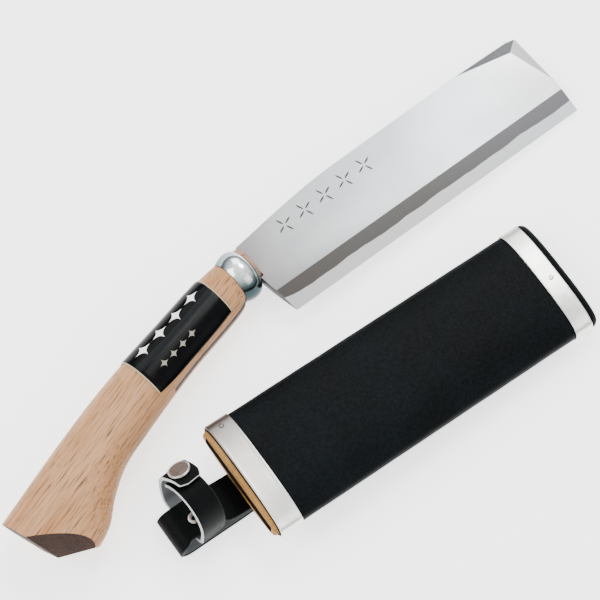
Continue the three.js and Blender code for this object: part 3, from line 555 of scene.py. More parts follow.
def grip_point(t, turn, grow=0.0):
    """A point of the grip's skin, t along it and `turn` round it from the spine side up."""
    place = t * (SECTIONS - 1)
    i = min(SECTIONS - 2, int(place))
    spine = spine_line[i].lerp(spine_line[i + 1], place - i)
    belly = belly_line[i].lerp(belly_line[i + 1], place - i)
    middle, across = (spine + belly) / 2, (spine - belly) / 2
    high = lerp(GRIP_HALF_FRONT, GRIP_HALF_BACK, min(1.0, 1.6 * t)) + grow
    exponent = 2 / lerp(2.0, 2.25, min(1.0, 8 * t))
    u = signed_power(math.cos(turn), exponent) * (1 + grow / across.length)
    v = signed_power(math.sin(turn), exponent)
    return middle + across * u + Vector((0, 0, high * v))


def grip_loop(t, count=128):
    return [grip_point(t, turn) for turn in circle(count)]


# %% Cut the front and the facets of the butt, then hand over the grip
def cut_plane(work, point, normal, finish):
    """Cuts a mesh with a plane, keeps the side against the normal and closes the cut."""
    geometry = list(work.verts) + list(work.edges) + list(work.faces)
    cut = bmesh.ops.bisect_plane(work, geom=geometry, plane_co=Vector(point),
                                 plane_no=Vector(normal).normalized(), clear_outer=True)
    rim = [item for item in cut["geom_cut"] if isinstance(item, bmesh.types.BMEdge)]
    for face in bmesh.ops.holes_fill(work, edges=rim)["faces"]:
        face.material_index = finish


FERRULE_BACK, FERRULE_LEAN = Vector((-17.7, 30.5, 0)), math.radians(6)
FERRULE_AXIS = Vector((math.cos(FERRULE_LEAN), math.sin(FERRULE_LEAN), 0))


def ferrule_point(along, across=0.0, z=0.0):
    sideways = Vector((-FERRULE_AXIS.y, FERRULE_AXIS.x, 0))
    return FERRULE_BACK + FERRULE_AXIS * along + sideways * across + Vector((0, 0, z))


GRIP_FRONT = -0.3
BUTT_APEX = Vector((-166.9, -31.1, 0))
BUTT_CORNERS = [Vector((-176.8, -5.6, 0)), Vector((-148.7, -38.1, 0))]
BUTT_SIDE_RISE = Vector((-0.09, -0.27, 1))
BUTT_LEVEL = Vector((math.cos(math.radians(-31)), math.sin(math.radians(-31)), 0))
BUTT_CHAMFER = 7.3, 12
out_of_butt = Vector((-1, -1, 0)).normalized()


def outward(normal):
    return normal if normal.dot(out_of_butt) > 0 else -normal


def cut_grip(work):
    cut_plane(work, ferrule_point(GRIP_FRONT), FERRULE_AXIS, 0)
    for corner in BUTT_CORNERS:
        cut_plane(work, BUTT_APEX, outward((corner - BUTT_APEX).cross(BUTT_SIDE_RISE)), 1)
    for side in (1, -1):
        inward = -outward(Vector((-BUTT_LEVEL.y, BUTT_LEVEL.x, 0)))
        rise = inward * BUTT_CHAMFER[0] + Vector((0, 0, BUTT_CHAMFER[1] * side))
        cut_plane(work, BUTT_APEX, outward(BUTT_LEVEL.cross(rise)), 1)
    ease_edges(work, 24, 0.35)


grip_skin = skin([grip_loop(i / (SECTIONS - 1)) for i in range(SECTIONS)])
grip = piece("oak_grip", [grip_skin], KNIFE, [grip_oak, butt_grain_and_painted_shade], sharp=40, cut=cut_grip)
stands_for(grip, "knife", "oak", "handle", "tang_pin")

# %% [markdown]
# ## The ferrule and the collar
# A polished steel cup closes the front of the grip. In front of it a thin bamboo-coloured
# collar is the end of the wood core, where the tang goes in.

# %% Bright metals
FERRULE_RADIUS = 13.4

# Chrome mirrors the room. Its colour also holds a painted reflection: dark low down and bright on top, as a room
# would show in it.
chrome, node = new_material("polished_chrome")
local = placed(node, KNIFE)
wear = node(NOISE, Vector=local, Scale=500.0, Detail=4.0)
height = node("DIVIDE", node(AXES, local, out="Z"), FERRULE_RADIUS * MM)
room = node(RAMP, height, stops=[(0.0, "#1c2628"), (0.42, "#36464a"), (0.75, "#8f9c9d"), (1.0, "#f4f7f7")])
tone = node(MIX, 0.6, room, node(RAMP, wear, stops=[(0.3, "#c9d1d0"), (0.7, "#ffffff")]), **TIMES)
finish_off(node, tone, node("MULTIPLY_ADD", wear, 0.08, 0.12), Metallic=1.0)


def speckled(name, scale, detail, shade, light, change, gloss, metallic):
    """A small metal part with a fine uneven tone and gloss."""
    finish, node = new_material(name)
    speck = node(NOISE, Vector=node(COORDINATES, out="Object"), Scale=scale, Detail=detail)
    tone = node(RAMP, speck, stops=[(0.3, shade), (0.7, light)])
    finish_off(node, tone, node("MULTIPLY_ADD", speck, change, gloss), Metallic=metallic)
    return finish


# Nickel is a warmer, softer mirror than chrome. The cap's face is painted a dull brown with some gleam: a painted
# reflection on the nickel.
nickel = speckled("worn_nickel", 700.0, 4.0, "#b3aaa4", "#c4bcb6", 0.08, 0.24, 1.0)
cap_face_painted_reflection = speckled("brown_cap_face_painted_reflection", 900.0, 3.0, "#4f423b", "#66574f", 0.1, 0.4, 0.6)

# Satin sheet: a pale metal with rolling lines. The far side of the mouth band is painted darker toward the mouth, a
# painted dark reflection.
satin, node = new_material("satin_sheet_steel")
local = placed(node, SHEATH)
axes = node(AXES, local).node.outputs
roll = node(NOISE, Vector=stretched(node, local, 0.25, 14, 14), Scale=1.0, Detail=2.0)
scuff = node(NOISE, Vector=local, Scale=160.0, Detail=5.0)
tone = node(MIX, 0.35, node(RAMP, roll, stops=[(0.3, "#dedcd7"), (0.7, "#f6f4f0")]),
           node(RAMP, scuff, stops=[(0.35, "#d2cfc9"), (0.65, "#fbfaf8")]), **OVER)
far_side = node("ShaderNodeMapRange", Value=axes["Y"], From_Min=-0.02, From_Max=0.026)
near_mouth = node("MULTIPLY_ADD", axes["X"], -4.6, 1.0)
painted_dark_reflection = node("MULTIPLY", far_side, near_mouth)
tone = node(MIX, painted_dark_reflection, tone, srgb("#76716d"), **OVER)
rough = node("MULTIPLY_ADD", roll, 0.16, 0.24)
finish_off(node, tone, rough, bump=roll, strength=0.08, distance=0.00005, Metallic=1.0)
print("metals", chrome.name, nickel.name, cap_face_painted_reflection.name, satin.name)

# %% The ferrule
FERRULE_PROFILE = [(11.75, 0), (12.7, 2.2), (FERRULE_RADIUS, 5), (FERRULE_RADIUS, 7), (12.9, 9), (11.9, 10.6),
                   (10.7, 11.5)]
shell = smooth_line([(radius, distance, 0) for radius, distance in FERRULE_PROFILE], 28)
profile = [(0, 0), (11.0, 0)] + [(point.x, point.y) for point in shell] + [(10.35, 11.5), (10.2, 10.9), (0, 10.9)]
ferrule = piece("ferrule", [turned_skin(profile, FERRULE_BACK, FERRULE_AXIS, 128)], KNIFE, [chrome])
stands_for(ferrule, "knife", "chrome", "ferrule")


# %% The collar in front of the ferrule
COLLAR_OFF_AXIS, COLLAR_HALF_WIDTH, COLLAR_HALF_HEIGHT = 1.6, 9.7, 9.2


def collar_ring(along, grow):
    wide, high = COLLAR_HALF_WIDTH + grow, COLLAR_HALF_HEIGHT + grow
    return [ferrule_point(along, COLLAR_OFF_AXIS + wide * math.cos(t), high * math.sin(t)) for t in circle(96)]


bamboo = wood("bamboo_collar", KNIFE, "#b59378", "#957360", "#523626", lean=6.0, pores=0.6)
collar_steps = [(8.6, 0.0), (12.9, 0.0), (13.5, -0.08), (13.9, -0.3), (14.15, -0.7), (14.2, -1.3)]
collar = piece("collar", [skin([collar_ring(along, grow) for along, grow in collar_steps])], KNIFE, [bamboo])
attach(collar, "knife")
print("collar", len(collar.data.polygons), "faces")

# %% [markdown]
# ## The label
# A black glossy film is wrapped round the front of the grip. A narrow clear margin shows at its long
# sides, and a plain pattern of white strokes stands where a label carries its print.

# %% Label film
# Glossy black film: deep black with a sharp weak gleam, and a clear margin at its long sides.
label_film, node = new_material("glossy_black_label_film")
wrap = node(AXES, node("ShaderNodeUVMap", uv_map="wrap")).node.outputs
dust = node(NOISE, Vector=stretched(node, placed(node, KNIFE), 6, 6, 6), Scale=1.0, Detail=5.0)
ink = node(RAMP, dust, stops=[(0.3, "#010102"), (0.7, "#040506")])


def off_line(along, middle):
    """How far a place on the wrap is from a line, on one axis of the UV map."""
    return node("ABSOLUTE", node("SUBTRACT", wrap[along], middle))


def four_point_stars(row_middle, row_height, cell, first, last):
    """White four-point stars in one row along the label: 1 inside a star, 0 outside."""
    place = node("DIVIDE", node("SUBTRACT", wrap["X"], first), cell)
    saw = node("MULTIPLY_ADD", node("FRACT", place), 2.0, -1.0)
    a = node("ABSOLUTE", saw)
    b = node("DIVIDE", off_line("Y", row_middle), row_height)
    a, b = (node("POWER", value, 0.55) for value in (a, b))
    star = node("LESS_THAN", node("ADD", a, b), 0.95)
    after = node("GREATER_THAN", place, 0.0)
    within = node("MULTIPLY", after, node("LESS_THAN", wrap["X"], last))
    return node("MULTIPLY", star, within)


margin = node("GREATER_THAN", off_line("X", 0.5), 0.487)
# A narrow grey band along the label is a painted reflection.
band = node("LESS_THAN", off_line("Y", 0.715), 0.035)
painted_reflection_band = node("MULTIPLY", band, 0.5)
tone = ink
for mask, code in ((four_point_stars(0.60, 0.085, 0.21, 0.08, 0.92), "#f4f3f0"),
                   (four_point_stars(0.815, 0.045, 0.12, 0.36, 0.84), "#8b857c"),
                   (painted_reflection_band, "#1c1f21"), (margin, "#a8997d")):
    tone = node(MIX, mask, tone, srgb(code), **OVER)
rough = node("MULTIPLY_ADD", dust, 0.12, 0.14)
finish_off(node, tone, rough, bump=dust, strength=0.05, distance=0.0001, Specular_IOR_Level=0.06)

LABEL_FRONT, LABEL_BACK = 0.07, 0.40
LABEL_OVER, LABEL_UNDER, RIM_LIFT = 0.75, 0.3, 0.45


def label_skin(rows=40, columns=96):
    """The wrap: an outer and an inner grid joined at the rim, with its place kept for the UV map."""
    corners, faces, places = [], [], []
    for grow in (LABEL_OVER, LABEL_UNDER):
        for i in range(rows + 1):
            for j in range(columns + 1):
                u, v = i / rows, j / columns
                near_rim = min(1.0, 40 * min(u, 1 - u, v, 1 - v))
                lift = grow if grow == LABEL_UNDER else lerp(RIM_LIFT, grow, near_rim)
                belly_side = 149 - 9 * (1 - u) ** 2 - 17 * u ** 3
                turn = math.radians(lerp(-70, belly_side, v))
                corners.append(grip_point(lerp(LABEL_FRONT, LABEL_BACK, u), turn, lift))
                places.append((u, v))
    half = (rows + 1) * (columns + 1)

    def at(i, j, layer):
        return layer * half + i * (columns + 1) + j

    for i in range(rows):
        for j in range(columns):
            for layer in (0, 1):
                faces.append((at(i, j, layer), at(i, j + 1, layer), at(i + 1, j + 1, layer), at(i + 1, j, layer)))
    for i in range(rows):
        for j in (0, columns):
            faces.append((at(i, j, 0), at(i + 1, j, 0), at(i + 1, j, 1), at(i, j, 1)))
    for j in range(columns):
        for i in (0, rows):
            faces.append((at(i, j, 0), at(i, j + 1, 0), at(i, j + 1, 1), at(i, j, 1)))
    return corners, faces, places


corners, faces, places = label_skin()
label = piece("label_wrap", [(corners, faces)], KNIFE, [label_film], sharp=60)
wrap_map = label.data.uv_layers.new(name="wrap")
for loop in label.data.loops:
    wrap_map.data[loop.index].uv = places[loop.vertex_index]
stands_for(label, "knife", "label_film", "handle_label")

# %% [markdown]
# ## The sheath
# Two hollowed halves of pale wood are covered with black leather. A rolled steel band
# holds each end, and a leather pad closes the far end. Nails go through both bands.

# %% Leather finishes
def leather(name, place, shade, light, pebble=0.8, gloss=0.44, strength=0.9, specular=0.10):
    """Grained leather: fine pebbles between tiny creases, with slow wear in the gloss."""
    finish, node = new_material(name)
    local = placed(node, place)
    cells = stretched(node, local, pebble, pebble, pebble)
    grain = node("ShaderNodeTexVoronoi", Vector=cells, Scale=1.0, feature="SMOOTH_F1")
    fine = node(NOISE, Vector=cells, Scale=1.6, Detail=4.0)
    slow = node(NOISE, Vector=local, Scale=38.0, Detail=4.0)
    height = node("MULTIPLY_ADD", fine, 0.5, grain)
    # Pebble tops are painted lighter and the creases darker: a painted highlight and painted shade on the grain.
    tone = node(RAMP, height, stops=[(0.25, light), (0.85, shade)])
    tone = node(MIX, 0.4, tone, node(RAMP, slow, stops=[(0.3, shade), (0.7, light)]), **OVER)
    rough = node("MULTIPLY_ADD", height, 0.08, gloss - 0.1)
    rough = node("MULTIPLY_ADD", slow, 0.16, rough)
    finish_off(node, tone, rough, bump=height, strength=strength, distance=0.00008, Specular_IOR_Level=specular)
    return finish


# The cover is pressed cowhide: black, with a soft gleam on its pebbles, partly a painted highlight on the pebble
# tops. The real pebbles are near
# 0.8 mm; they are drawn a little coarser, so that they show from afar.
cover_leather = leather("black_pebbled_cover_leather", SHEATH, "#010202", "#0c1215", 1.15, strength=1.0,
                        specular=0.05)
# The strap is smoother and duller. Its inner side is paler, and its cut edges have no gleam; the pale grey of the
# strap's low edge and ends is a painted highlight on the lit edge.
strap_leather = leather("black_strap_leather", BESIDE, "#020303", "#0a0d0e", 0.4, gloss=0.46, specular=0.05)
flesh_side = leather("grey_flesh_side", BESIDE, "#55585a", "#7d8081", 0.25, gloss=0.8, strength=0.8)
dyed_edge = leather("dyed_cut_leather_edge", BESIDE, "#141918", "#2a3130", 0.3, gloss=0.6, strength=0.6)
edge_painted_highlight = leather("strap_edge_painted_highlight", BESIDE, "#a9acab", "#dcdfdd", 0.3, gloss=0.7, strength=0.6)
print("leathers", cover_leather.name, strap_leather.name, flesh_side.name, dyed_edge.name, edge_painted_highlight.name)

# %% Oval sleeves
OVALNESS = 2.6


def sheath_half(x, grow):
    """Half the width and half the height of the sheath's wood, at x and that much bigger."""
    t = x / 185.3
    return 30.6 - 0.4 * t + grow, 7.8 + 0.8 * t + grow


def sheath_ring(x, grow):
    """An oval of the sheath, with its points close together where it bends."""
    wide, high = sheath_half(x, grow)
    power = 2 / OVALNESS
    return [Vector((x, wide * signed_power(math.cos(t), power), high * signed_power(math.sin(t), power)))
            for t in circle(192)]


def sleeve(steps):
    """A ring-shaped skin from (x, grow) steps that go out along the outside and back inside."""
    return skin([sheath_ring(x, grow) for x, grow in steps], joined=True)


cover_steps = [(-0.4, 0.4), (-0.4, 0.9), (0.1, 1.15)]
cover_steps += [(x, 1.2 + 0.05 * math.sin(x * 0.21) * math.sin(x * 0.067)) for x in range(2, 184, 2)]
cover_steps += [(185.1, 1.15), (185.3, 0.8), (185.3, 0.3)]
cover = piece("leather_cover_sleeve", [sleeve(cover_steps)], SHEATH, [cover_leather])
stands_for(cover, "sheath", "black_leather", "leather_cover")


def band_steps(start, end):
    """A strip of sheet with its two edges rolled under."""
    rolled = [(start, 1.45), (start + 0.02, 1.75), (start + 0.15, 1.97), (start + 0.5, 2.08), (start + 1.0, 2.03)]
    back = [(end - (x - start), grow) for x, grow in reversed(rolled)]
    return rolled + [(lerp(start + 1.6, end - 1.6, i / 12), 2.0) for i in range(13)] + back


mouth_band = piece("mouth_band_sheet", [sleeve(band_steps(0, 12.7))], SHEATH, [satin])
stands_for(mouth_band, "sheath", "satin_steel", "mouth_band")
end_band = piece("end_band_sheet", [sleeve(band_steps(175.7, 185.7))], SHEATH, [satin])
stands_for(end_band, "sheath", "satin_steel", "end_band")

PAD_START, PAD_BULGE, PAD_GROW = 186.0, 3.8, 1.5
cap_loops = [sheath_ring(PAD_START, 1.1), sheath_ring(PAD_START, PAD_GROW)]
for i in range(15):
    s = i / 14
    cap_loops.append(sheath_ring(PAD_START + PAD_BULGE * s, PAD_GROW - 3.2 * (1 - math.sqrt(1 - 0.98 * s * s))))
end_pad = piece("end_pad", [skin(cap_loops)], SHEATH, [cover_leather])
stands_for(end_pad, "sheath", "black_leather", "end_cap")

for cad_node, name in (("sheath_front_half", "wood_front_half"), ("sheath_back_half", "wood_back_half")):
    half = merged_copy(cad_node, name, [sheath_wood], 0.25, 50)
    stands_for(half, "sheath", "sheath_wood", cad_node)

# %% [markdown]
# ## The nails
# The same small domed nail holds both bands, so Geometry Nodes puts one nail at each marked
# point and turns it to face the way the band faces there.

# %% Geometry Nodes: what every group that scatters a shape has
def scatter_group(name, result, sizes):
    """A new group that takes points, sizes and a finish, and the sockets of its inputs."""
    group = bpy.data.node_groups.new(name, "GeometryNodeTree")
    kinds = {"Points": "Geometry", **{label: "Float" for label in sizes}, "Finish": "Material"}
    for label, kind in kinds.items():
        socket = group.interface.new_socket(name=label, in_out="INPUT", socket_type="NodeSocket" + kind)
        if label in sizes:
            socket.default_value = sizes[label]
    group.interface.new_socket(name=result, in_out="OUTPUT", socket_type="NodeSocketGeometry")
    return group, add(group, "NodeGroupInput").node.outputs


def scatter(group, into, result, shape, rotation, smooth):
    """Puts the shape on every point, turned, and hands it on as real faces with their finish."""
    copies = add(group, "GeometryNodeInstanceOnPoints", Points=into["Points"], Instance=shape, Rotation=rotation)
    real = add(group, "GeometryNodeRealizeInstances", Geometry=copies)
    if smooth:
        real = add(group, "GeometryNodeSetShadeSmooth", Geometry=real)
    coloured = add(group, "GeometryNodeSetMaterial", Geometry=real, Material=into["Finish"])
    add(group, "NodeGroupOutput", **{result: coloured})


def grown(name, points, facings, group, finish):
    """Runs a group over some points once and keeps the result as a plain mesh."""
    seed = bpy.data.meshes.new(name + "_points")
    seed.from_pydata([tuple(point) for point in points], [], [])
    attribute = seed.attributes.new("facing", "FLOAT_VECTOR", "POINT")
    for i, direction in enumerate(facings):
        attribute.data[i].vector = direction
    carrier = shown(name + "_points", seed)
    modifier = carrier.modifiers.new(name, "NODES")
    modifier.node_group = group
    modifier[group.interface.items_tree["Finish"].identifier] = finish
    graph = bpy.context.evaluated_depsgraph_get()
    mesh = bpy.data.meshes.new_from_object(carrier.evaluated_get(graph))
    bpy.data.objects.remove(carrier)
    return shown(name, mesh)


# %% The nails
nail_group, into = scatter_group("domed_nails", "Nails", {"Head radius": 1.3 * MM})
ball = add(nail_group, "GeometryNodeMeshUVSphere", Segments=32, Rings=16, Radius=into["Head radius"])
dome = add(nail_group, "GeometryNodeTransform", Geometry=ball, Scale=(1.0, 1.0, 0.5))
facing = add(nail_group, "GeometryNodeInputNamedAttribute", Name="facing", data_type="FLOAT_VECTOR")
turn = add(nail_group, "FunctionNodeAlignRotationToVector", Vector=facing, axis="Z")
scatter(nail_group, into, "Nails", dome, turn, smooth=True)


def sheath_surface(x, y, grow, side):
    """A point of the sheath's skin and the way it faces, in the frame's own metres."""
    wide, high = sheath_half(x, grow)
    u = abs(y) / wide
    v = (1 - u ** OVALNESS) ** (1 / OVALNESS)
    steep = OVALNESS - 1
    normal = Vector((0, math.copysign(u ** steep, y) / wide, side * v ** steep / high)).normalized()
    return SHEATH @ (Vector((x, y, side * v * high)) * MM), SHEATH.to_3x3() @ normal


NAIL_MARKS = [(6.3, 27.2, 1), (6.3, 27.2, -1), (181.2, -2, 1), (181.2, 19, -1)]
nail_places, nail_facings = zip(*(sheath_surface(x, y, 2.1, side) for x, y, side in NAIL_MARKS))
nails = grown("band_nails", nail_places, nail_facings, nail_group, satin)
stands_for(nails, "sheath", "satin_steel", "mouth_nail_front", "mouth_nail_back", "end_nail_front", "end_nail_back")

# %% [markdown]
# ## The engraved marks
# A row of five plain marks is punched into the flat of the blade, each of four short strokes. One
# Geometry Nodes group places a stroke on every point and turns it by the angle kept there.

# %% Punched strokes
# Punched steel: the floor of each stroke is dark and rough, so the marks read as drawn lines.
punched, node = new_material("dark_punched_stroke")
# A fine mottle varies the dark grey of the strokes.
stroke_mottle = node(NOISE, Vector=stretched(node, placed(node, KNIFE), 0.5, 0.5, 0.5), Scale=1.0)
tone = node(RAMP, stroke_mottle, stops=[(0.3, "#1f1d1d"), (0.7, "#4a4646")])
finish_off(node, tone, node("MULTIPLY_ADD", stroke_mottle, 0.2, 0.5), Metallic=0.6)

STROKE_DEPTH = 0.00012
stroke_sizes = {"Stroke length": 4.3 * MM, "Stroke width": 0.9 * MM}
stroke_group, into = scatter_group("punched_strokes", "Strokes", stroke_sizes)
ball = add(stroke_group, "GeometryNodeMeshUVSphere", Segments=20, Rings=10, Radius=0.5)
size = add(stroke_group, "ShaderNodeCombineXYZ", into["Stroke length"], into["Stroke width"], STROKE_DEPTH)
shape = add(stroke_group, "GeometryNodeTransform", Geometry=ball, Scale=size)
angles = add(stroke_group, "GeometryNodeInputNamedAttribute", Name="facing", data_type="FLOAT_VECTOR")
spin = add(stroke_group, "FunctionNodeEulerToRotation", Euler=angles)
scatter(stroke_group, into, "Strokes", shape, spin, smooth=False)

FIRST_MARK, MARK_STEP, STROKE_OFF_MIDDLE = Vector((22.2, 38.4, 3.0)), Vector((12.85, 0.5, 0)), 2.9
stroke_places, stroke_turns = [], []
for mark in range(5):
    for petal in range(4):
        angle = math.radians(25 + 90 * petal)
        off_middle = Vector((math.cos(angle), math.sin(angle), 0)) * STROKE_OFF_MIDDLE
        stroke_places.append((FIRST_MARK + MARK_STEP * mark + off_middle) * MM)
        stroke_turns.append((0.0, 0.0, angle))
marks = grown("punched_marks", stroke_places, stroke_turns, stroke_group, punched)
marks.data.transform(KNIFE)
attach(marks, "knife")
print("marks", len(marks.data.polygons), "faces")

# %% [markdown]
# ## Leather strips
# The hanging loop and the strap are strips. Each follows a line in a flat plane, has rounded
# edges, and shows the black grain side, the grey flesh side and the cut edges, dark or painted pale as a painted
# highlight.

# %% One function for every strip
def strip_skin(line, sides, thickness, to_point, across=14, edge=0.5):
    """Sweeps a flat section with rounded edges along a plane line of (p, q) points.

    `sides(i, count)` gives the low and high side of the strip at step i. `to_point(p, q, w)`
    turns plane and side values into a point. Finishes: 0 grain, 1 flesh, 2 high edge, 3 low edge
    and ends."""
    half, count = thickness / 2, len(line)
    corners, faces, finishes, size = [], [], [], 0
    for i, point in enumerate(line):
        before, after = line[max(0, i - 1)], line[min(count - 1, i + 1)]
        tangent = (Vector(after) - Vector(before)).normalized()
        normal = Vector((tangent.y, -tangent.x))
        low, high = sides(i, count)
        flat = [(lerp(low + edge, high - edge, j / across), half) for j in range(across + 1)]
        turns = [math.pi / 2 - math.pi * j / 6 for j in range(1, 6)]
        right = [(high - edge + edge * math.cos(t), half * math.sin(t)) for t in turns]
        left = [(low + edge - edge * math.cos(t), -half * math.sin(t)) for t in turns]
        section = flat + right + [(w, -h) for w, h in reversed(flat)] + left
        size = len(section)
        for w, h in section:
            spot = Vector(point) + normal * h
            corners.append(to_point(spot.x, spot.y, w))
    kinds = [0] * across + [2] * 6 + [1] * across + [3] * 6
    for i in range(count - 1):
        for j in range(size):
            k = (j + 1) % size
            faces.append((i * size + j, i * size + k, (i + 1) * size + k, (i + 1) * size + j))
            finishes.append(kinds[j])
    for start in (0, (count - 1) * size):
        faces.append(tuple(range(start, start + size)))
        finishes.append(3)
    return corners, faces, finishes


def plane_line(points, count):
    return [point.xy for point in smooth_line([(p, q, 0) for p, q in points], count)]


LOOP_SIDES = [strap_leather, flesh_side, dyed_edge, dyed_edge]
STRAP_SIDES = [strap_leather, flesh_side, dyed_edge, edge_painted_highlight]
print("strip function ready")

# %% The hanging loop
LOOP_UPPER = [(23.5, 7.08), (15, 7.45), (5, 7.95), (-3.5, 8.35), (-10, 9.6), (-19, 12.2), (-28, 13.3), (-36, 13.4)]
LOOP_LOWER = [(-36, 1.3), (-20, 1.3), (-4, 1.3), (3, 2.1), (11, 4.75), (15, 4.85), (23.5, 4.5)]
half_turns = [math.pi / 2 + math.pi * i / 24 for i in range(1, 24)]
fold = [Vector((-36 + 6.05 * math.cos(t), 7.35 + 6.05 * math.sin(t))) for t in half_turns]
loop_line = plane_line(LOOP_UPPER, 90) + fold + plane_line(LOOP_LOWER, 80)
LOOP_WAIST = [(-39.5, -10.5), (-38.6, -10.4), (-35, -8.7), (-27, -7.7), (-19, -7.4), (-14, -10.3), (-12, -10.5)]
LOOP_HALF, LOOP_THICK = 10.5, 2.2


def loop_sides(i, count):
    """The two sides of the loop; its upper layer is cut in on one side, like a waist."""
    point, low = loop_line[i], -LOOP_HALF
    if point.y > 9 and LOOP_WAIST[0][0] < point.x < LOOP_WAIST[-1][0]:
        for (x0, y0), (x1, y1) in zip(LOOP_WAIST, LOOP_WAIST[1:]):
            if x0 <= point.x <= x1:
                low = lerp(y0, y1, ease(point.x, x0, x1))
    return low, LOOP_HALF


loop_strip = strip_skin(loop_line, loop_sides, LOOP_THICK, lambda p, q, w: Vector((p, w, q)))
hanging_loop = piece("folded_hanging_loop", [loop_strip], BESIDE, LOOP_SIDES, sharp=50)
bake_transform(hanging_loop)
stands_for(hanging_loop, None, "black_leather", "hanging_loop", "loop_root_upper", "loop_root_lower")

# %% [markdown]
# ## The strap
# One strip makes the ring. It starts under the flap, goes over the top, down, along the loop
# and up the far side, and laps over its own start. The far side is a piece of its own because
# it bends when the flap is opened; the two meet under the ring, on the floor of the loop.

# %% The strap's line
ARCH_WIDE, ARCH_HIGH, ARCH_MIDDLE = 15.35, 20.1, 20.0


def arch_normal(turn):
    return Vector((math.cos(turn) / ARCH_WIDE, math.sin(turn) / ARCH_HIGH)).normalized()


def arch_point(turn, lift=0.0):
    middle = Vector((ARCH_WIDE * math.cos(turn), ARCH_MIDDLE + ARCH_HIGH * math.sin(turn)))
    return middle + arch_normal(turn) * lift


SEAM = 2.0, STRAP_FLOOR
CORNER_RADIUS = 3.5
STRAP_HALF, STRAP_THICK = 7.1, 1.8

arm = [arch_point(math.radians(lerp(40, 180, i / 70))) for i in range(71)]
corner_middle = Vector((CORNER_RADIUS - ARCH_WIDE, STRAP_FLOOR + CORNER_RADIUS))
for i in range(11):
    t = math.pi * lerp(1.0, 1.5, i / 10)
    arm.append(corner_middle + Vector((CORNER_RADIUS * math.cos(t), CORNER_RADIUS * math.sin(t))))
arm_line = resampled(arm + [Vector(SEAM)], 120)
flap_turns = [lerp(0.85, math.radians(81), i / 6) for i in range(7)]
lifts = [5.0 - 1.5 * ease(t, 1.15, 1.431) for t in flap_turns]
FAR_SIDE = [SEAM, (8.5, 9.5), (11.3, 10.6), (13.0, 13.6), (14.4, 18), (15.4, 22.5), (15.85, 27),
            (15.7, 31.8), (15.0, 35.6)]
far_line = plane_line(FAR_SIDE + [tuple(arch_point(t, lift)) for t, lift in zip(flap_turns, lifts)], 130)
FLAP_LOW = [(3.0, -0.6), (3.5, -2.2), (4.6, -4.9), (9.5, -6.1), (14.5, -7.4), (17.0, -7.1)]
FLAP_HIGH = [(3.0, 6.0), (3.6, 6.9), (6.0, 8.0), (9.5, 7.7), (14.5, 7.2), (17.0, 7.1)]


def table_value(pairs, value):
    if value <= pairs[0][0]:
        return pairs[0][1]
    for (x0, y0), (x1, y1) in zip(pairs, pairs[1:]):
        if value <= x1:
            return lerp(y0, y1, (value - x0) / (x1 - x0))
    return pairs[-1][1]


def flap_sides(i, count):
    point = far_line[i]
    if point.y < 30:
        return -STRAP_HALF, STRAP_HALF
    return table_value(FLAP_LOW, point.x), table_value(FLAP_HIGH, point.x)


def ring_place(p, q, w):
    return Vector((w, p, q))


arm_strip = strip_skin(arm_line, lambda i, count: (-STRAP_HALF, STRAP_HALF), STRAP_THICK, ring_place)
strap = piece("strap_ring_and_arm", [arm_strip], RING, STRAP_SIDES, sharp=50)
stands_for(strap, "strap", "black_leather", "strap_base")
flap_strip = strip_skin(far_line, flap_sides, STRAP_THICK, ring_place)
flap = piece("strap_far_side_and_flap", [flap_strip], RING, STRAP_SIDES, sharp=50)
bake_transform(flap)
stands_for(flap, None, "black_leather", "strap_flap")

# %% [markdown]
# ## The press stud and the rivets
# The cap has a thin bright rim round a slightly domed face. The socket is under it, and the stud with
# its post stands on the arm. A hollow rivet with a rolled lip holds the strap to the loop.

# %% Turned metal pieces
SNAP_TURN = math.radians(60.5)
snap_middle, snap_normal = arch_point(SNAP_TURN), arch_normal(SNAP_TURN)
SNAP_BASE = (0.7, snap_middle.x, snap_middle.y)
SNAP_AXIS = (0, snap_normal.x, snap_normal.y)


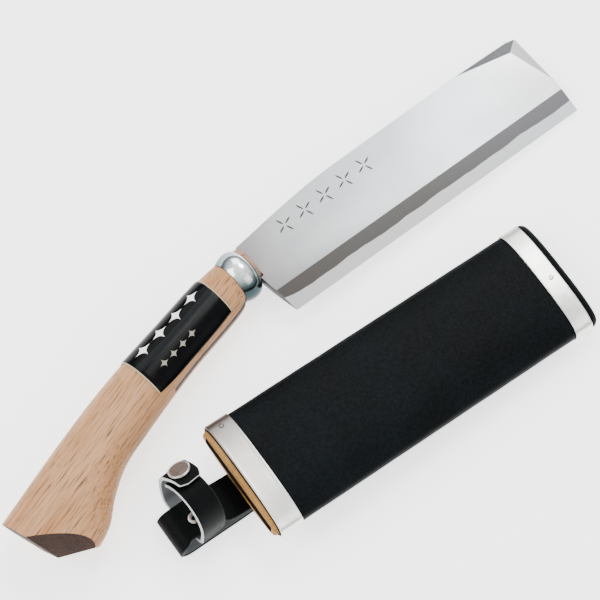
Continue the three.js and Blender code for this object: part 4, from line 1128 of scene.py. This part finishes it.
def snap_piece(name, profile, body, *nodes):
    skins = [turned_skin(rounded_profile(profile), SNAP_BASE, SNAP_AXIS, 72)]
    stands_for(piece(name, skins, RING, [nickel], sharp=50), body, "nickel", *nodes)


snap_piece("snap_cap_rim", [(0, 4.4), (1.2, 4.4), (1.2, 5.95), (5.45, 5.95), (5.75, 6.3), (5.7, 6.85), (5.3, 7.1),
                            (4.9, 6.9), (0, 6.9)], "flap", "snap_cap")
cap_face = [(0, 6.8), (4.85, 6.8), (4.8, 6.92), (4.5, 7.02), (3.5, 7.3), (1.8, 7.55), (0, 7.62)]
face = piece("snap_cap_face", [turned_skin(cap_face, SNAP_BASE, SNAP_AXIS, 72)], RING, [cap_face_painted_reflection])
stands_for(face, "flap", "nickel", "snap_cap")
snap_piece("snap_socket_tube", [(0, 2.4), (2.5, 2.4), (2.5, 2.1), (3.5, 2.1), (3.6, 2.9), (3.3, 3.25), (0, 3.25)],
           "flap", "snap_socket")
snap_piece("snap_stud_ball", [(0, 1.2), (4.6, 1.2), (4.6, 1.6), (2.1, 1.7), (1.9, 2.1), (2.1, 2.6), (1.7, 3.0),
                              (0, 3.0)], "strap", "snap_stud")
snap_piece("snap_post_head", [(0, -2.5), (2.8, -2.4), (3.4, -2.0), (3.4, -1.2), (1.1, -1.2), (1.1, 2.7), (0, 2.7)],
           "strap", "snap_post")
RIVET_PROFILE = [(0, 0), (3.4, 0), (4, 0.4), (4, 1), (1.6, 1), (1.6, 7.85), (2.9, 7.85), (3.1, 8.3), (2.6, 8.75),
                 (1.9, 8.75), (1.3, 8.2), (1.0, 7.2), (1.0, 3.85), (0, 3.55)]
rivet_skin = turned_skin(rounded_profile(RIVET_PROFILE), (-28.3, 0, 7.0), (0, 0, 1), 64)
rivet = piece("strap_rivet_tube", [rivet_skin], BESIDE, [nickel], sharp=50)
stands_for(rivet, "loop", "nickel", "strap_rivet")

# The two rivets at the mouth stay as the CAD model has them; only their finish is new.
for cad_node in ("loop_rivet_left", "loop_rivet_right"):
    mesh = frame["nodes"][cad_node].data
    for index in range(len(mesh.materials)):
        mesh.materials[index] = nickel
print("turned pieces done")
